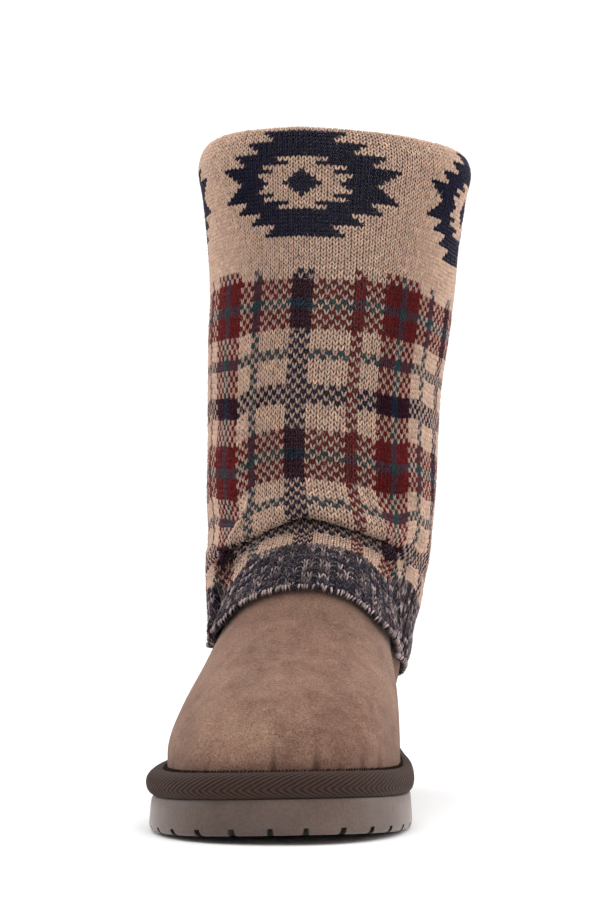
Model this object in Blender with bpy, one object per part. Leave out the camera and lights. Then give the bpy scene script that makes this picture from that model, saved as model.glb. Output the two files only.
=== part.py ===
"""Mid-calf pull-on boot, left foot: rubber outsole, tape rand, insole, suede foot and knit shaft.

The shoe frame has two plan coordinates in millimetres: station, from the back of the heel to the toe,
and side, positive towards the little toe. Heights are above the floor. place() turns them into metres.
"""

from math import pi

import bmesh
import bpy
import numpy as np

# ---- driving dimensions, in millimetres ---------------------------------------------------------
LENGTH = 278.0            # outsole, heel to toe
HEEL_TOP = 20.0           # top of the outsole under the heel
FOREFOOT_TOP = 14.3       # top of the outsole under the ball, before toe spring
TOE_SPRING = 4.0          # lift of the tread at the toe tip
FLEX_STATION = 186.0      # the toe spring starts here, on the shoe axis
FLEX_SLANT = 0.28         # and further back towards the little toe, by this much for each millimetre
ARCH_LIFT = 2.5           # lift of the tread under the waist
ARCH_START = 84.0         # stations between which the waist is lifted
ARCH_END = 152.0
UPPER_INSET = 6.2         # outsole edge to the outside of the upper
UPPER_SET = 1.2           # how far the upper sits to the lateral side of the sole
UPPER_WALL = 2.5          # suede with its lining
GAP = 0.35                # clearance between pieces that touch
UPPER_TOP = 112.0         # ankle edge of the suede foot, hidden in the shaft
BULGE_HEIGHT = 31.5       # the foot stands upright up to here, inside the rand
ANKLE_BLEND = 5.0         # softness of the bend from the foot up into the ankle
ANKLE_RISE = 25.0         # height over which that softness grows to its full value
DOME_MEDIAL = 1.75        # roundness of the foot's cross-section on its inner side
DOME_LATERAL = 2.7        # and on its outer side, which stands steeper
RAND_HEIGHT = 10.6
RAND_OVERHANG = 1.0       # rand beyond the outsole edge
INSOLE_THICK = 5.0
KNIT_THICK = 3.2          # knit alone, where it hangs outside the foot
SHAFT_WALL = 6.0          # knit with fleece lining, above the foot
KNIT_CLEAR = 1.0          # knit to the suede under it, which it only brushes
COLLAR_THICK = 12.0       # soft double fold along the collar
COLLAR_DROP = 12.0        # height over which the fold rounds over
NECK_HEIGHT = 130.0       # where the shaft bends up from the instep
LEAVE_HEIGHT = 110.0      # above this the knit stops following the instep
LEAVE_RATE = 0.7          # and draws in by this much for each millimetre of height
KNIT_BLEND = 9.0          # softness of the bend from the instep up into the shaft
ANKLE_STATION = 79.0      # upright axis that the ankle and shaft are drawn round
ANKLE_SIDE = 1.0
CENTRE_SIDE = 6.85        # side coordinate of the middle of the whole boot
NOTCH_PITCH = 15.5        # along the tread edge
NOTCH_DEPTH = 8.0         # from the edge inwards
NOTCH_HEIGHT = 2.7
NOTCH_FOOT = 3.8          # width at the tread
NOTCH_HEAD = 2.4          # width at its top
GROOVES = (26.0, 44.0, 62.0, 166.0, 184.0, 202.0, 220.0, 238.0)   # stations of the cross grooves
GROOVE_MARGIN = 15.0      # from their ends to the edge of the tread
GROOVE_DEPTH = 1.8
GROOVE_FOOT = 5.0
GROOVE_HEAD = 3.6
CUT_CLEAR = 4.0           # how far a cutter reaches out of the rubber
HEEL_SQUARE = 2.3         # 2 is an elliptical end, more is squarer
TOE_SQUARE = 2.5
ANKLE_SQUARE = 2.15

AROUND_SOLE = 64          # points round outsole, rand and suede foot
UPPER_LEVELS = 12         # steps up the suede foot
AROUND_INSOLE = 44
AROUND_SHAFT = 56         # points round the knit
FRONT_CROWDING = 0.45     # share by which those points crowd towards the instep


def table(columns, *rows):
    """Named columns of numbers, one row for each section."""
    return {name: np.array(values, float) for name, values in zip(columns.split(), zip(*rows))}


# Outsole half widths each side of the shoe axis; station is a share of the length.
OUTLINE = table(
    "station medial lateral",
    (0.00, 36.0, 36.0),
    (0.10, 36.0, 36.0),
    (0.22, 36.0, 37.0),
    (0.36, 35.5, 40.0),
    (0.50, 44.0, 44.5),
    (0.62, 53.3, 49.0),
    (0.70, 56.3, 50.4),
    (0.78, 56.8, 51.2),
    (1.00, 56.4, 50.8),
)
HEEL_ROUND = 44.0         # stations over which the heel rounds off
TOE_ROUND = 82.0          # stations over which the toe rounds off

# Height of the top line of the foot, from the toe tip back to the front of the ankle.
RIDGE = table(
    "behind height",
    (0.0, BULGE_HEIGHT),
    (3.0, 39.0),
    (10.0, 47.5),
    (22.0, 56.0),
    (42.0, 66.0),
    (67.0, 77.5),
    (87.0, 89.5),
    (102.0, 100.5),
    (117.0, 114.0),
    (127.0, 127.0),
    (133.0, 145.0),
    (136.0, 175.0),
)

# Back of the heel: station of the upper's outer face at each height.
HEEL_BACK = table(
    "height station",
    (18.0, 6.2),
    (31.0, 6.2),
    (48.0, 5.8),
    (68.0, 7.2),
    (90.0, 10.0),
    (130.0, 16.0),
)

# Ankle section of the suede foot, round the ankle axis.
ANKLE = table(
    "height half_width front back",
    (20.0, 22.0, 40.0, 60.0),
    (31.0, 26.0, 46.0, 66.0),
    (42.0, 33.5, 50.0, 70.0),
    (52.0, 37.0, 54.0, 70.0),
    (66.0, 39.0, 57.0, 70.0),
    (90.0, 40.5, 60.0, 68.0),
    (130.0, 41.0, 60.0, 64.0),
)

# Knit shaft sections; side is how far the section's middle stands off the shoe axis.
SHAFT = table(
    "height side half_width front back",
    (45.0, 1.0, 41.5, 60.0, 76.0),
    (67.0, 1.0, 42.5, 60.0, 75.5),
    (89.0, 3.2, 46.6, 61.0, 74.5),
    (106.0, 4.1, 48.6, 61.5, 73.5),
    (124.0, 5.0, 50.0, 62.5, 72.5),
    (142.0, 5.7, 50.6, 64.0, 71.5),
    (177.0, 6.8, 51.3, 65.0, 69.5),
    (212.0, 9.2, 53.6, 65.5, 68.5),
    (238.0, 10.8, 55.0, 66.0, 68.0),
    (265.0, 11.3, 58.0, 67.0, 68.0),
    (279.0, 11.6, 60.4, 68.0, 68.5),
    (300.0, 11.6, 60.4, 68.0, 68.5),
)

# Hem of the knit: height at each angle from straight ahead (0) to straight back (180).
HEM = table(
    "angle medial lateral",
    (0.0, 96.3, 96.3),
    (3.0, 96.1, 96.1),
    (10.0, 93.0, 93.0),
    (15.0, 88.5, 88.5),
    (20.0, 80.0, 80.0),
    (26.0, 74.0, 72.5),
    (38.0, 69.5, 66.0),
    (60.0, 67.0, 62.5),
    (90.0, 63.0, 59.5),
    (135.0, 54.0, 53.0),
    (180.0, 49.0, 49.0),
)

# Top of the folded collar, by angle in the same way.
COLLAR = table(
    "angle medial lateral",
    (0.0, 293.0, 293.0),
    (30.0, 292.3, 290.5),
    (60.0, 290.5, 287.5),
    (90.0, 288.5, 285.5),
    (180.0, 285.0, 285.0),
)

# Top of the outsole before toe spring.
SOLE_TOP = table(
    "station height",
    (0.0, HEEL_TOP),
    (60.0, HEEL_TOP - 0.4),
    (110.0, 18.3),
    (160.0, 16.3),
    (200.0, 14.8),
    (240.0, FOREFOOT_TOP),
    (LENGTH, FOREFOOT_TOP),
)


def smooth(xs, ys, x):
    """Cubic through the points (xs, ys) that never overshoots them."""
    xs, ys = np.asarray(xs, float), np.asarray(ys, float)
    steps = np.diff(xs)
    slopes = np.diff(ys) / steps
    tangents = np.zeros(len(xs))
    left, right = slopes[:-1], slopes[1:]
    same = left * right > 0
    harmonic = 2 * left * right / np.where(same, left + right, 1.0)
    tangents[1:-1] = np.where(same, harmonic, 0.0)
    tangents[0], tangents[-1] = slopes[0], slopes[-1]
    x = np.clip(x, xs[0], xs[-1])
    i = np.clip(np.searchsorted(xs, x) - 1, 0, len(steps) - 1)
    h = steps[i]
    t = (x - xs[i]) / h
    return (
        ys[i] * (1 + 2 * t) * (1 - t) ** 2
        + tangents[i] * h * t * (1 - t) ** 2
        + ys[i + 1] * t * t * (3 - 2 * t)
        + tangents[i + 1] * h * t * t * (t - 1)
    )


def read(rows, column, key, at):
    """Value of a table's column where its key column reads at."""
    return smooth(rows[key], rows[column], at)


def soft_max(a, b, radius):
    return 0.5 * (a + b + np.sqrt((a - b) ** 2 + radius**2))


def place(station, side, height):
    """Shoe coordinates in millimetres to world coordinates in metres; the toe points along -Y."""
    world = np.stack(np.broadcast_arrays(side - CENTRE_SIDE, LENGTH / 2 - station, height), axis=-1)
    return world / 1000


# ---- sole surfaces ------------------------------------------------------------------------------
def toe_lift(station, side):
    """Toe spring ahead of the flex line, which runs from the ball's inner to its outer side."""
    flex_line = FLEX_STATION - FLEX_SLANT * side
    ahead = np.clip(station - flex_line, 0.0, None) / (LENGTH - FLEX_STATION)
    return TOE_SPRING * ahead**2


def tread_height(station, side):
    arch = np.clip((station - ARCH_START) / (ARCH_END - ARCH_START), 0.0, 1.0)
    return ARCH_LIFT * np.sin(pi * arch) ** 2 + toe_lift(station, side)


def sole_top(station, side):
    return read(SOLE_TOP, "height", "station", station) + toe_lift(station, side)


def outline_side(station, inset, back, tip, lateral):
    """Side of the foot's edge, pulled in by inset and rounded at both ends."""
    width = read(OUTLINE, "lateral" if lateral else "medial", "station", station / LENGTH) - inset
    toe_start = LENGTH - TOE_ROUND
    heel = np.clip((HEEL_ROUND - station) / (HEEL_ROUND - back), 0.0, 1.0)
    toe = np.clip((station - toe_start) / (tip - toe_start), 0.0, 1.0)
    heel_share = (1 - heel**HEEL_SQUARE) ** (1 / HEEL_SQUARE)
    toe_share = (1 - toe**TOE_SQUARE) ** (1 / TOE_SQUARE)
    edge = width * heel_share * toe_share
    return (edge if lateral else -edge) + UPPER_SET * inset / UPPER_INSET


def outline(inset, count=AROUND_SOLE):
    """Plan outline of the sole, inset all round: stations and sides, from the heel up the lateral side."""
    back, tip = inset, LENGTH - inset
    fine = np.linspace(0.0, 2 * pi, 1441)[:-1]
    stations = 0.5 * (back + tip) - 0.5 * (tip - back) * np.cos(fine)
    lateral = fine < pi
    sides = np.where(
        lateral,
        outline_side(stations, inset, back, tip, True),
        outline_side(stations, inset, back, tip, False),
    )
    return even_loop(stations, sides, count)


def even_loop(stations, sides, count):
    """Resample a closed loop that starts at the heel so that both its halves get evenly spaced points."""
    half = len(stations) // 2
    picked = []
    for part in (range(0, half + 1), [*range(half, len(stations)), 0]):
        x, y = stations[list(part)], sides[list(part)]
        run = np.concatenate([[0.0], np.cumsum(np.hypot(np.diff(x), np.diff(y)))])
        marks = np.linspace(0.0, run[-1], count // 2 + 1)[:-1]
        picked.append((np.interp(marks, run, x), np.interp(marks, run, y)))
    return np.concatenate([picked[0][0], picked[1][0]]), np.concatenate([picked[0][1], picked[1][1]])


# ---- foot surface -------------------------------------------------------------------------------
def foot_slice(height):
    """Outline of the foot's outer face at one height, without the ankle, as a dense closed loop."""
    back = float(read(HEEL_BACK, "station", "height", height))
    tip_full = LENGTH - UPPER_INSET
    above = max(height, BULGE_HEIGHT)
    root = np.sqrt(RIDGE["behind"])
    tip = tip_full - float(smooth(RIDGE["height"], root, above)) ** 2
    turn = np.linspace(0.0, 2 * pi, 721)[:-1]
    stations = 0.5 * (back + tip) - 0.5 * (tip - back) * np.cos(turn)
    ridge = smooth(root, RIDGE["height"], np.sqrt(np.clip(tip_full - stations, 0.0, None)))
    rise = (above - BULGE_HEIGHT) / np.maximum(ridge - BULGE_HEIGHT, 1e-6)
    lateral = turn < pi
    power = np.where(lateral, DOME_LATERAL, DOME_MEDIAL)
    dome = (1 - np.clip(rise, 0.0, 1.0) ** power) ** (1 / power)
    sides = np.where(
        lateral,
        outline_side(stations, UPPER_INSET, back, tip_full, True),
        outline_side(stations, UPPER_INSET, back, tip_full, False),
    )
    return stations, sides * dome


def polar_radius(stations, sides, angles):
    """Distance from the ankle axis to a closed loop in each direction."""
    ahead, across = stations - ANKLE_STATION, sides - ANKLE_SIDE
    bearing, radius = np.arctan2(across, ahead), np.hypot(ahead, across)
    order = np.argsort(bearing)
    return np.interp(angles, bearing[order], radius[order], period=2 * pi)


def ellipse_radius(angles, front, back, half_width, power):
    ahead, across = np.cos(angles), np.sin(angles)
    depth = np.where(ahead > 0, front, back)
    return (np.abs(ahead / depth) ** power + np.abs(across / half_width) ** power) ** (-1 / power)


def section_sizes(rows, height):
    """Front and back depth and half width of an upright section at one height."""
    return [float(read(rows, name, "height", height)) for name in ("front", "back", "half_width")]


def foot_radius(angle, height):
    """Outer face of the suede foot: its distance from the ankle axis at one angle and height."""
    foot = polar_radius(*foot_slice(height), angle)
    ankle = ellipse_radius(angle, *section_sizes(ANKLE, height), ANKLE_SQUARE)
    return soft_max(foot, ankle, ANKLE_BLEND * np.clip((height - BULGE_HEIGHT) / ANKLE_RISE, 0.0, 1.0))


def foot_offset(angle, height, distance):
    """Radius of a surface that stands off the foot by a distance measured square to it."""
    radius = foot_radius(angle, height)
    slope = (foot_radius(angle, height + 1.0) - foot_radius(angle, height - 1.0)) / 2.0
    swing = (foot_radius(angle + 0.02, height) - foot_radius(angle - 0.02, height)) / (0.04 * radius)
    return radius + distance * np.sqrt(1 + slope**2 + swing**2)


def from_axis(angle, radius, height):
    return place(ANKLE_STATION + radius * np.cos(angle), ANKLE_SIDE + radius * np.sin(angle), height)


# ---- shaft surface ------------------------------------------------------------------------------
def tube_radius(angle, height):
    """Free-hanging knit tube, whose middle leans to the lateral side as it rises."""
    shift = float(read(SHAFT, "side", "height", height)) - ANKLE_SIDE
    turn = np.linspace(-pi, pi, 361)
    radius = ellipse_radius(turn, *section_sizes(SHAFT, height), 2.0)
    ahead, across = radius * np.cos(turn), radius * np.sin(turn) + shift
    return np.interp(angle, np.unwrap(np.arctan2(across, ahead)), np.hypot(ahead, across), period=2 * pi)


def knit_radius(angle, height):
    """Outer face of the knit: the tube, or the foot under it where that reaches further out."""
    over_foot = foot_offset(angle, height, KNIT_CLEAR + KNIT_THICK)
    leaving = LEAVE_RATE * max(height - LEAVE_HEIGHT, 0.0)
    blend = KNIT_BLEND * np.clip(np.cos(angle), 0.15, 1.0)
    return soft_max(over_foot - leaving, tube_radius(angle, height), blend)


def edge_height(rows, angle):
    """Height of the hem or the collar at an angle from straight ahead."""
    return float(read(rows, "lateral" if angle > 0 else "medial", "angle", np.degrees(abs(angle))))


# ---- mesh building ------------------------------------------------------------------------------
def material(name, colour, roughness):
    made = bpy.data.materials.new(name)
    made.use_nodes = True
    shader = made.node_tree.nodes["Principled BSDF"]
    shader.inputs["Base Color"].default_value = (*colour, 1.0)
    shader.inputs["Roughness"].default_value = roughness
    shader.inputs["Metallic"].default_value = 0.0
    return made


def finish(name, mesh, finish_material, crease=0.9):
    """Turn a bmesh into a named, outward-facing, smooth-shaded object."""
    bmesh.ops.recalc_face_normals(mesh, faces=mesh.faces)
    data = bpy.data.meshes.new(name)
    mesh.to_mesh(data)
    mesh.free()
    data.materials.append(finish_material)
    data.shade_smooth()
    data.set_sharp_from_angle(angle=crease)
    piece = bpy.data.objects.new(name, data)
    bpy.context.collection.objects.link(piece)
    return piece


def add_rings(mesh, rings):
    """Vertices of several rings and the quads between each ring and the next."""
    made = [[mesh.verts.new(point) for point in ring] for ring in rings]
    for low, high in zip(made, made[1:]):
        for j in range(len(low)):
            k = (j + 1) % len(low)
            mesh.faces.new((low[j], low[k], high[k], high[j]))
    return made


def close_loop(mesh, last, first):
    for j in range(len(last)):
        k = (j + 1) % len(last)
        mesh.faces.new((last[j], last[k], first[k], first[j]))


def sole_strips(mesh, ring, height_at, across=4):
    """Close a sole outline with strips that run from side to side and follow a height function."""
    count = len(ring)
    rows = [[ring[0]]]
    for j in range(1, count // 2):
        lateral, medial = ring[j], ring[count - j]
        row = [lateral]
        for step in range(1, across):
            share = step / across
            x = lateral.co.x * (1 - share) + medial.co.x * share
            y = lateral.co.y * (1 - share) + medial.co.y * share
            station, side = LENGTH / 2 - y * 1000, x * 1000 + CENTRE_SIDE
            row.append(mesh.verts.new((x, y, float(height_at(station, side)) / 1000)))
        rows.append([*row, medial])
    rows.append([ring[count // 2]])
    for low, high in zip(rows, rows[1:]):
        if len(low) == 1:
            low = low * len(high)
        if len(high) == 1:
            high = high * len(low)
        for j in range(len(low) - 1):
            corners = list(dict.fromkeys((low[j], low[j + 1], high[j + 1], high[j])))
            mesh.faces.new(corners)


# ---- pieces -------------------------------------------------------------------------------------
def outsole():
    """Rubber unit: rounded tread edge, nearly upright wall, top that follows the foot's bottom."""
    profile = table(
        "inset share lift",
        (3.0, 0.0, 0.0),
        (1.0, 0.0, 0.9),
        (0.0, 0.0, 2.8),
        (0.5, 0.7, 0.0),
        (1.4, 1.0, -0.6),
        (2.2, 1.0, 0.0),
    )
    mesh = bmesh.new()
    rings = []
    for inset, share, lift in zip(profile["inset"], profile["share"], profile["lift"]):
        station, side = outline(inset)
        low, high = tread_height(station, side), sole_top(station, side)
        rings.append(place(station, side, low * (1 - share) + high * share + lift))
    made = add_rings(mesh, rings)
    sole_strips(mesh, made[0], tread_height)
    sole_strips(mesh, made[-1], sole_top)
    sole = finish("outsole", mesh, material("rubber", (0.235, 0.190, 0.170), 0.62), crease=0.6)
    cut = sole.modifiers.new("tread", "BOOLEAN")
    cut.operation = "DIFFERENCE"
    cut.solver = "EXACT"
    cut.object = tread_cutter()
    return sole


def wedge(mesh, centre, inward, length, foot, head, bottom, top):
    """One tread groove: a bar with a trapezium section, lying along inward from centre."""
    along = np.array([inward[0], inward[1], 0.0])
    across = np.array([-inward[1], inward[0], 0.0])
    rings = []
    for reach in (0.0, length):
        base = np.array([centre[0], centre[1], 0.0]) + along * reach
        corners = ((-foot, bottom), (foot, bottom), (head, top), (-head, top))
        rings.append([(base + across * width / 2 + (0.0, 0.0, height)) / 1000 for width, height in corners])
    near, far = ([mesh.verts.new(point) for point in ring] for ring in rings)
    close_loop(mesh, near, far)
    mesh.faces.new(near)
    mesh.faces.new(far[::-1])


def tread_cutter():
    """Notches at an even pitch round the tread edge, and straight grooves across ball and heel."""
    mesh = bmesh.new()
    station, side = outline(0.0, 720)
    x, y = side - CENTRE_SIDE, LENGTH / 2 - station
    run = np.concatenate([[0.0], np.cumsum(np.hypot(np.diff(x, append=x[0]), np.diff(y, append=y[0])))])
    count = int(round(run[-1] / NOTCH_PITCH))
    for mark in (np.arange(count) + 0.5) * run[-1] / count:
        i = int(np.searchsorted(run, mark)) % len(x)
        before, after = i - 3, (i + 3) % len(x)
        along = np.array([x[after] - x[before], y[after] - y[before]])
        inward = np.array([-along[1], along[0]]) / np.hypot(*along)
        if np.dot(inward, [x[i], y[i]]) > 0:
            inward = -inward
        start = np.array([x[i], y[i]]) - inward * CUT_CLEAR
        low = float(tread_height(station[i], side[i]))
        reach = NOTCH_DEPTH + CUT_CLEAR
        wedge(mesh, start, inward, reach, NOTCH_FOOT, NOTCH_HEAD, low - CUT_CLEAR, low + NOTCH_HEIGHT)
    ends = (GROOVE_MARGIN, GROOVE_MARGIN, LENGTH - GROOVE_MARGIN)
    for middle in GROOVES:
        medial, lateral = (float(outline_side(middle, *ends, outer)) for outer in (False, True))
        low = float(tread_height(middle, 0.0))
        start = np.array([medial - CENTRE_SIDE, LENGTH / 2 - middle])
        reach = lateral - medial
        wedge(mesh, start, (1.0, 0.0), reach, GROOVE_FOOT, GROOVE_HEAD, low - CUT_CLEAR, low + GROOVE_DEPTH)
    bmesh.ops.recalc_face_normals(mesh, faces=mesh.faces)
    data = bpy.data.meshes.new("tread_cutter")
    mesh.to_mesh(data)
    mesh.free()
    cutter = bpy.data.objects.new("tread_cutter", data)
    bpy.context.collection.objects.link(cutter)
    cutter.hide_render = True
    cutter.display_type = "WIRE"
    return cutter


def rand_binding():
    """Padded tape round the base: flat against foot and sole, rounded outside."""
    inner = UPPER_INSET - GAP
    reach = inner + RAND_OVERHANG
    mesh = bmesh.new()
    rings = []
    for turn in np.linspace(-pi / 2, pi / 2, 8):
        inset = inner - reach * np.cos(turn) ** 0.7 if abs(turn) < pi / 2 - 1e-6 else inner
        station, side = outline(inset)
        rise = GAP + RAND_HEIGHT * (0.5 + 0.5 * np.sin(turn))
        rings.append(place(station, side, sole_top(station, side) + rise))
    made = add_rings(mesh, rings)
    close_loop(mesh, made[-1], made[0])
    return finish("rand_binding", mesh, material("tape", (0.065, 0.040, 0.031), 0.85), crease=0.8)


def insole():
    """Sock board on the outsole, inside the foot."""
    mesh = bmesh.new()
    inset = UPPER_INSET + UPPER_WALL + 4 * GAP
    rings = []
    for pull, rise in ((0.6, GAP), (0.0, GAP + 0.8), (0.0, INSOLE_THICK - 0.8), (0.8, INSOLE_THICK)):
        station, side = outline(inset + pull, AROUND_INSOLE)
        rings.append(place(station, side, sole_top(station, side) + rise))
    made = add_rings(mesh, rings)
    sole_strips(mesh, made[0], lambda station, side: sole_top(station, side) + GAP)
    sole_strips(mesh, made[-1], lambda station, side: sole_top(station, side) + INSOLE_THICK)
    return finish("insole", mesh, material("sock", (0.50, 0.42, 0.34), 0.95))


def foot_upper():
    """Suede foot: one hollow shell from the sole to the ankle, open above and below."""
    station, side = outline(UPPER_INSET)
    angles = np.arctan2(side - ANKLE_SIDE, station - ANKLE_STATION)
    mesh = bmesh.new()
    rings = []
    floor = sole_top(station, side) + GAP
    for share in np.linspace(0.0, 1.0, UPPER_LEVELS + 1) ** 1.15:
        heights = floor + share * (UPPER_TOP - floor)
        radii = [float(foot_radius(a, h)) for a, h in zip(angles, heights)]
        rings.append(from_axis(angles, np.array(radii), heights))
    add_rings(mesh, rings)
    upper = finish("foot_upper", mesh, material("suede", (0.240, 0.150, 0.110), 0.95))
    wall = upper.modifiers.new("wall", "SOLIDIFY")
    wall.thickness = UPPER_WALL / 1000
    wall.offset = -1.0
    wall.use_even_offset = True
    return upper


def knit_shaft():
    """Knit sleeve: hangs over the foot below, and above it carries the fleece lining in its wall."""
    even = np.linspace(-pi, pi, AROUND_SHAFT + 1)[:-1]
    angles = even - FRONT_CROWDING * np.sin(even)
    hems = np.array([edge_height(HEM, a) for a in angles])
    collars = np.array([edge_height(COLLAR, a) for a in angles])
    ledge = UPPER_TOP + GAP

    def ring(heights, pull, over_suede=False):
        """Points at given heights, pulled in from the knit's outer face, and kept outside the suede."""
        radii = []
        for angle, height in zip(angles, heights):
            outer = float(knit_radius(angle, height))
            slope = float(knit_radius(angle, height + 1.0) - knit_radius(angle, height - 1.0)) / 2.0
            inner = outer - pull * np.sqrt(1 + slope**2)
            if over_suede:
                inner = max(inner, float(foot_offset(angle, height, KNIT_CLEAR)))
            radii.append(inner)
        return from_axis(angles, np.array(radii), np.asarray(heights, float))

    rings = [ring(hems + 0.2, 1.2), ring(hems + 1.2, 0.0)]
    for share in (0.10, 0.25, 0.42, 0.60, 0.80, 1.0):
        rings.append(ring(hems + share * (NECK_HEIGHT - hems), 0.0))
    for share in (0.10, 0.22, 0.36, 0.50, 0.64, 0.78, 0.88):
        rings.append(ring(NECK_HEIGHT + share * (collars - NECK_HEIGHT), 0.0))
    fold = collars - COLLAR_DROP
    for turn in (0.0, 0.2 * pi, 0.36 * pi, 0.5 * pi, 0.68 * pi, pi):
        pull = COLLAR_THICK / 2 * (1 - np.cos(turn))
        rings.append(ring(fold + COLLAR_DROP * np.sin(turn), pull))
    for share in (0.85, 0.5, 0.2):
        rings.append(ring(ledge + share * (fold - ledge), SHAFT_WALL))
    rings.append(ring(np.full(AROUND_SHAFT, ledge), SHAFT_WALL + 1.0))
    rings.append(ring(np.full(AROUND_SHAFT, ledge), KNIT_THICK, True))
    for share in (0.8, 0.6, 0.4, 0.2):
        rings.append(ring(hems + share * (ledge - hems), KNIT_THICK, True))
    rings.append(ring(hems + 0.4, KNIT_THICK - 0.4, True))
    mesh = bmesh.new()
    made = add_rings(mesh, rings)
    close_loop(mesh, made[-1], made[0])
    return finish("knit_shaft", mesh, material("knit", (0.46, 0.33, 0.25), 0.95), crease=1.2)


def main():
    for old in list(bpy.data.objects):
        bpy.data.objects.remove(old, do_unlink=True)
    outsole()
    rand_binding()
    insole()
    foot_upper()
    knit_shaft()


main()
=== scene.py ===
"""Looks of the left mid-calf boot: charted sweater-knit shaft, suede foot, tape rand and rubber sole.

Sizes are millimetres in the shoe's own frame, as in the part's source: station runs from the back of the
heel to the toe, side is positive towards the little toe, and a turn is an angle about the ankle axis, 0 at
the toe and positive on the little-toe side. place() turns them into metres.
"""

from math import cos, pi, radians, sin

import bmesh
import bpy
import numpy as np
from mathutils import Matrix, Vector


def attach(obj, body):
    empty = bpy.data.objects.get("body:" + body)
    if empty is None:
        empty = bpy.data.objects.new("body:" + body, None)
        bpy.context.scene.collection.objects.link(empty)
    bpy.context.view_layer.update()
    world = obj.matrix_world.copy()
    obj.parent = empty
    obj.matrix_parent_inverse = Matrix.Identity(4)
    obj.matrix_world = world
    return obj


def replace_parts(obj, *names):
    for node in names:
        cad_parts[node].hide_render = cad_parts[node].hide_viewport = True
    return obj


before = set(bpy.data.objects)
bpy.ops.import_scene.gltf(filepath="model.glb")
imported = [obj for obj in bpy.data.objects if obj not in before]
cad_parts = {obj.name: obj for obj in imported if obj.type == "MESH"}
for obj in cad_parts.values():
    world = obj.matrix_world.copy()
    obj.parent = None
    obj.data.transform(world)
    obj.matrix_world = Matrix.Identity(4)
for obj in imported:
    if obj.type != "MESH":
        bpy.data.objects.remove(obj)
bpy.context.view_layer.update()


def table(columns, *rows):
    """Named columns of numbers, one row for each section."""
    return {name: np.array(values, float) for name, values in zip(columns.split(), zip(*rows))}


# ---- sizes shared with the part's source
LENGTH = 278.0
HEEL_TOP, FOREFOOT_TOP, TOE_SPRING = 20.0, 14.3, 4.0
FLEX_STATION, FLEX_SLANT = 186.0, 0.28
ARCH_LIFT, ARCH_START, ARCH_END = 2.5, 84.0, 152.0
HEEL_ROUND, HEEL_SQUARE = 44.0, 2.3
TOE_ROUND, TOE_SQUARE = 82.0, 2.5
NOTCH_PITCH, NOTCH_DEPTH, NOTCH_HEIGHT = 15.5, 8.0, 2.7
NOTCH_FOOT, NOTCH_HEAD = 3.8, 2.4
GROOVES = (26.0, 44.0, 62.0, 166.0, 184.0, 202.0, 220.0, 238.0)
GROOVE_MARGIN, GROOVE_DEPTH = 15.0, 1.8
GROOVE_FOOT, GROOVE_HEAD = 5.0, 3.6
CUT_CLEAR = 4.0  # how far the cutters of both reach out of the rubber
RAND_HEIGHT, RAND_OVERHANG = 10.6, 1.0
INSOLE_THICK, GAP = 5.0, 0.35
UPPER_INSET, UPPER_SET, UPPER_WALL, UPPER_TOP = 6.2, 1.2, 2.5, 112.0
BULGE_HEIGHT, DOME_MEDIAL, DOME_LATERAL = 31.5, 1.75, 2.7
ANKLE_BLEND, ANKLE_RISE, ANKLE_SQUARE = 5.0, 25.0, 2.15
ANKLE_STATION, ANKLE_SIDE, CENTRE_SIDE = 79.0, 1.0, 6.85
KNIT_THICK, KNIT_CLEAR, KNIT_BLEND, BLEND_LEAST = 3.2, 1.0, 9.0, 0.15
SHAFT_WALL, COLLAR_THICK, COLLAR_DROP = 6.0, 12.0, 12.0
NECK_HEIGHT, LEAVE_HEIGHT, LEAVE_RATE = 130.0, 110.0, 0.7

OUTLINE = table(
    "station medial lateral",
    (0, 36, 36), (0.1, 36, 36), (0.22, 36, 37), (0.36, 35.5, 40), (0.5, 44, 44.5), (0.62, 53.3, 49),
    (0.7, 56.3, 50.4), (0.78, 56.8, 51.2), (1, 56.4, 50.8),
)
RIDGE = table(
    "behind height",
    (0, BULGE_HEIGHT), (3, 39), (10, 47.5), (22, 56), (42, 66), (67, 77.5), (87, 89.5), (102, 100.5),
    (117, 114), (127, 127), (133, 145), (136, 175),
)
HEEL_BACK = table("height station", (18, 6.2), (31, 6.2), (48, 5.8), (68, 7.2), (90, 10), (130, 16))
ANKLE = table(
    "height half_width front back",
    (20, 22, 40, 60), (31, 26, 46, 66), (42, 33.5, 50, 70), (52, 37, 54, 70), (66, 39, 57, 70),
    (90, 40.5, 60, 68), (130, 41, 60, 64),
)
SHAFT = table(
    "height side half_width front back",
    (45, 1, 41.5, 60, 76), (67, 1, 42.5, 60, 75.5), (89, 3.2, 46.6, 61, 74.5), (106, 4.1, 48.6, 61.5, 73.5),
    (124, 5, 50, 62.5, 72.5), (142, 5.7, 50.6, 64, 71.5), (177, 6.8, 51.3, 65, 69.5),
    (212, 9.2, 53.6, 65.5, 68.5), (238, 10.8, 55, 66, 68), (265, 11.3, 58, 67, 68),
    (279, 11.6, 60.4, 68, 68.5), (300, 11.6, 60.4, 68, 68.5),
)
HEM = table(
    "angle medial lateral",
    (0, 96.3, 96.3), (3, 96.1, 96.1), (10, 93, 93), (15, 88.5, 88.5), (20, 80, 80), (26, 74, 72.5),
    (38, 69.5, 66), (60, 67, 62.5), (90, 63, 59.5), (135, 54, 53), (180, 49, 49),
)
COLLAR = table(
    "angle medial lateral",
    (0, 293, 293), (30, 292.3, 290.5), (60, 290.5, 287.5), (90, 288.5, 285.5), (180, 285, 285),
)
SOLE_TOP = table(
    "station height",
    (0, HEEL_TOP), (60, HEEL_TOP - 0.4), (110, 18.3), (160, 16.3), (200, 14.8), (240, FOREFOOT_TOP),
    (LENGTH, FOREFOOT_TOP),
)

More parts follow.
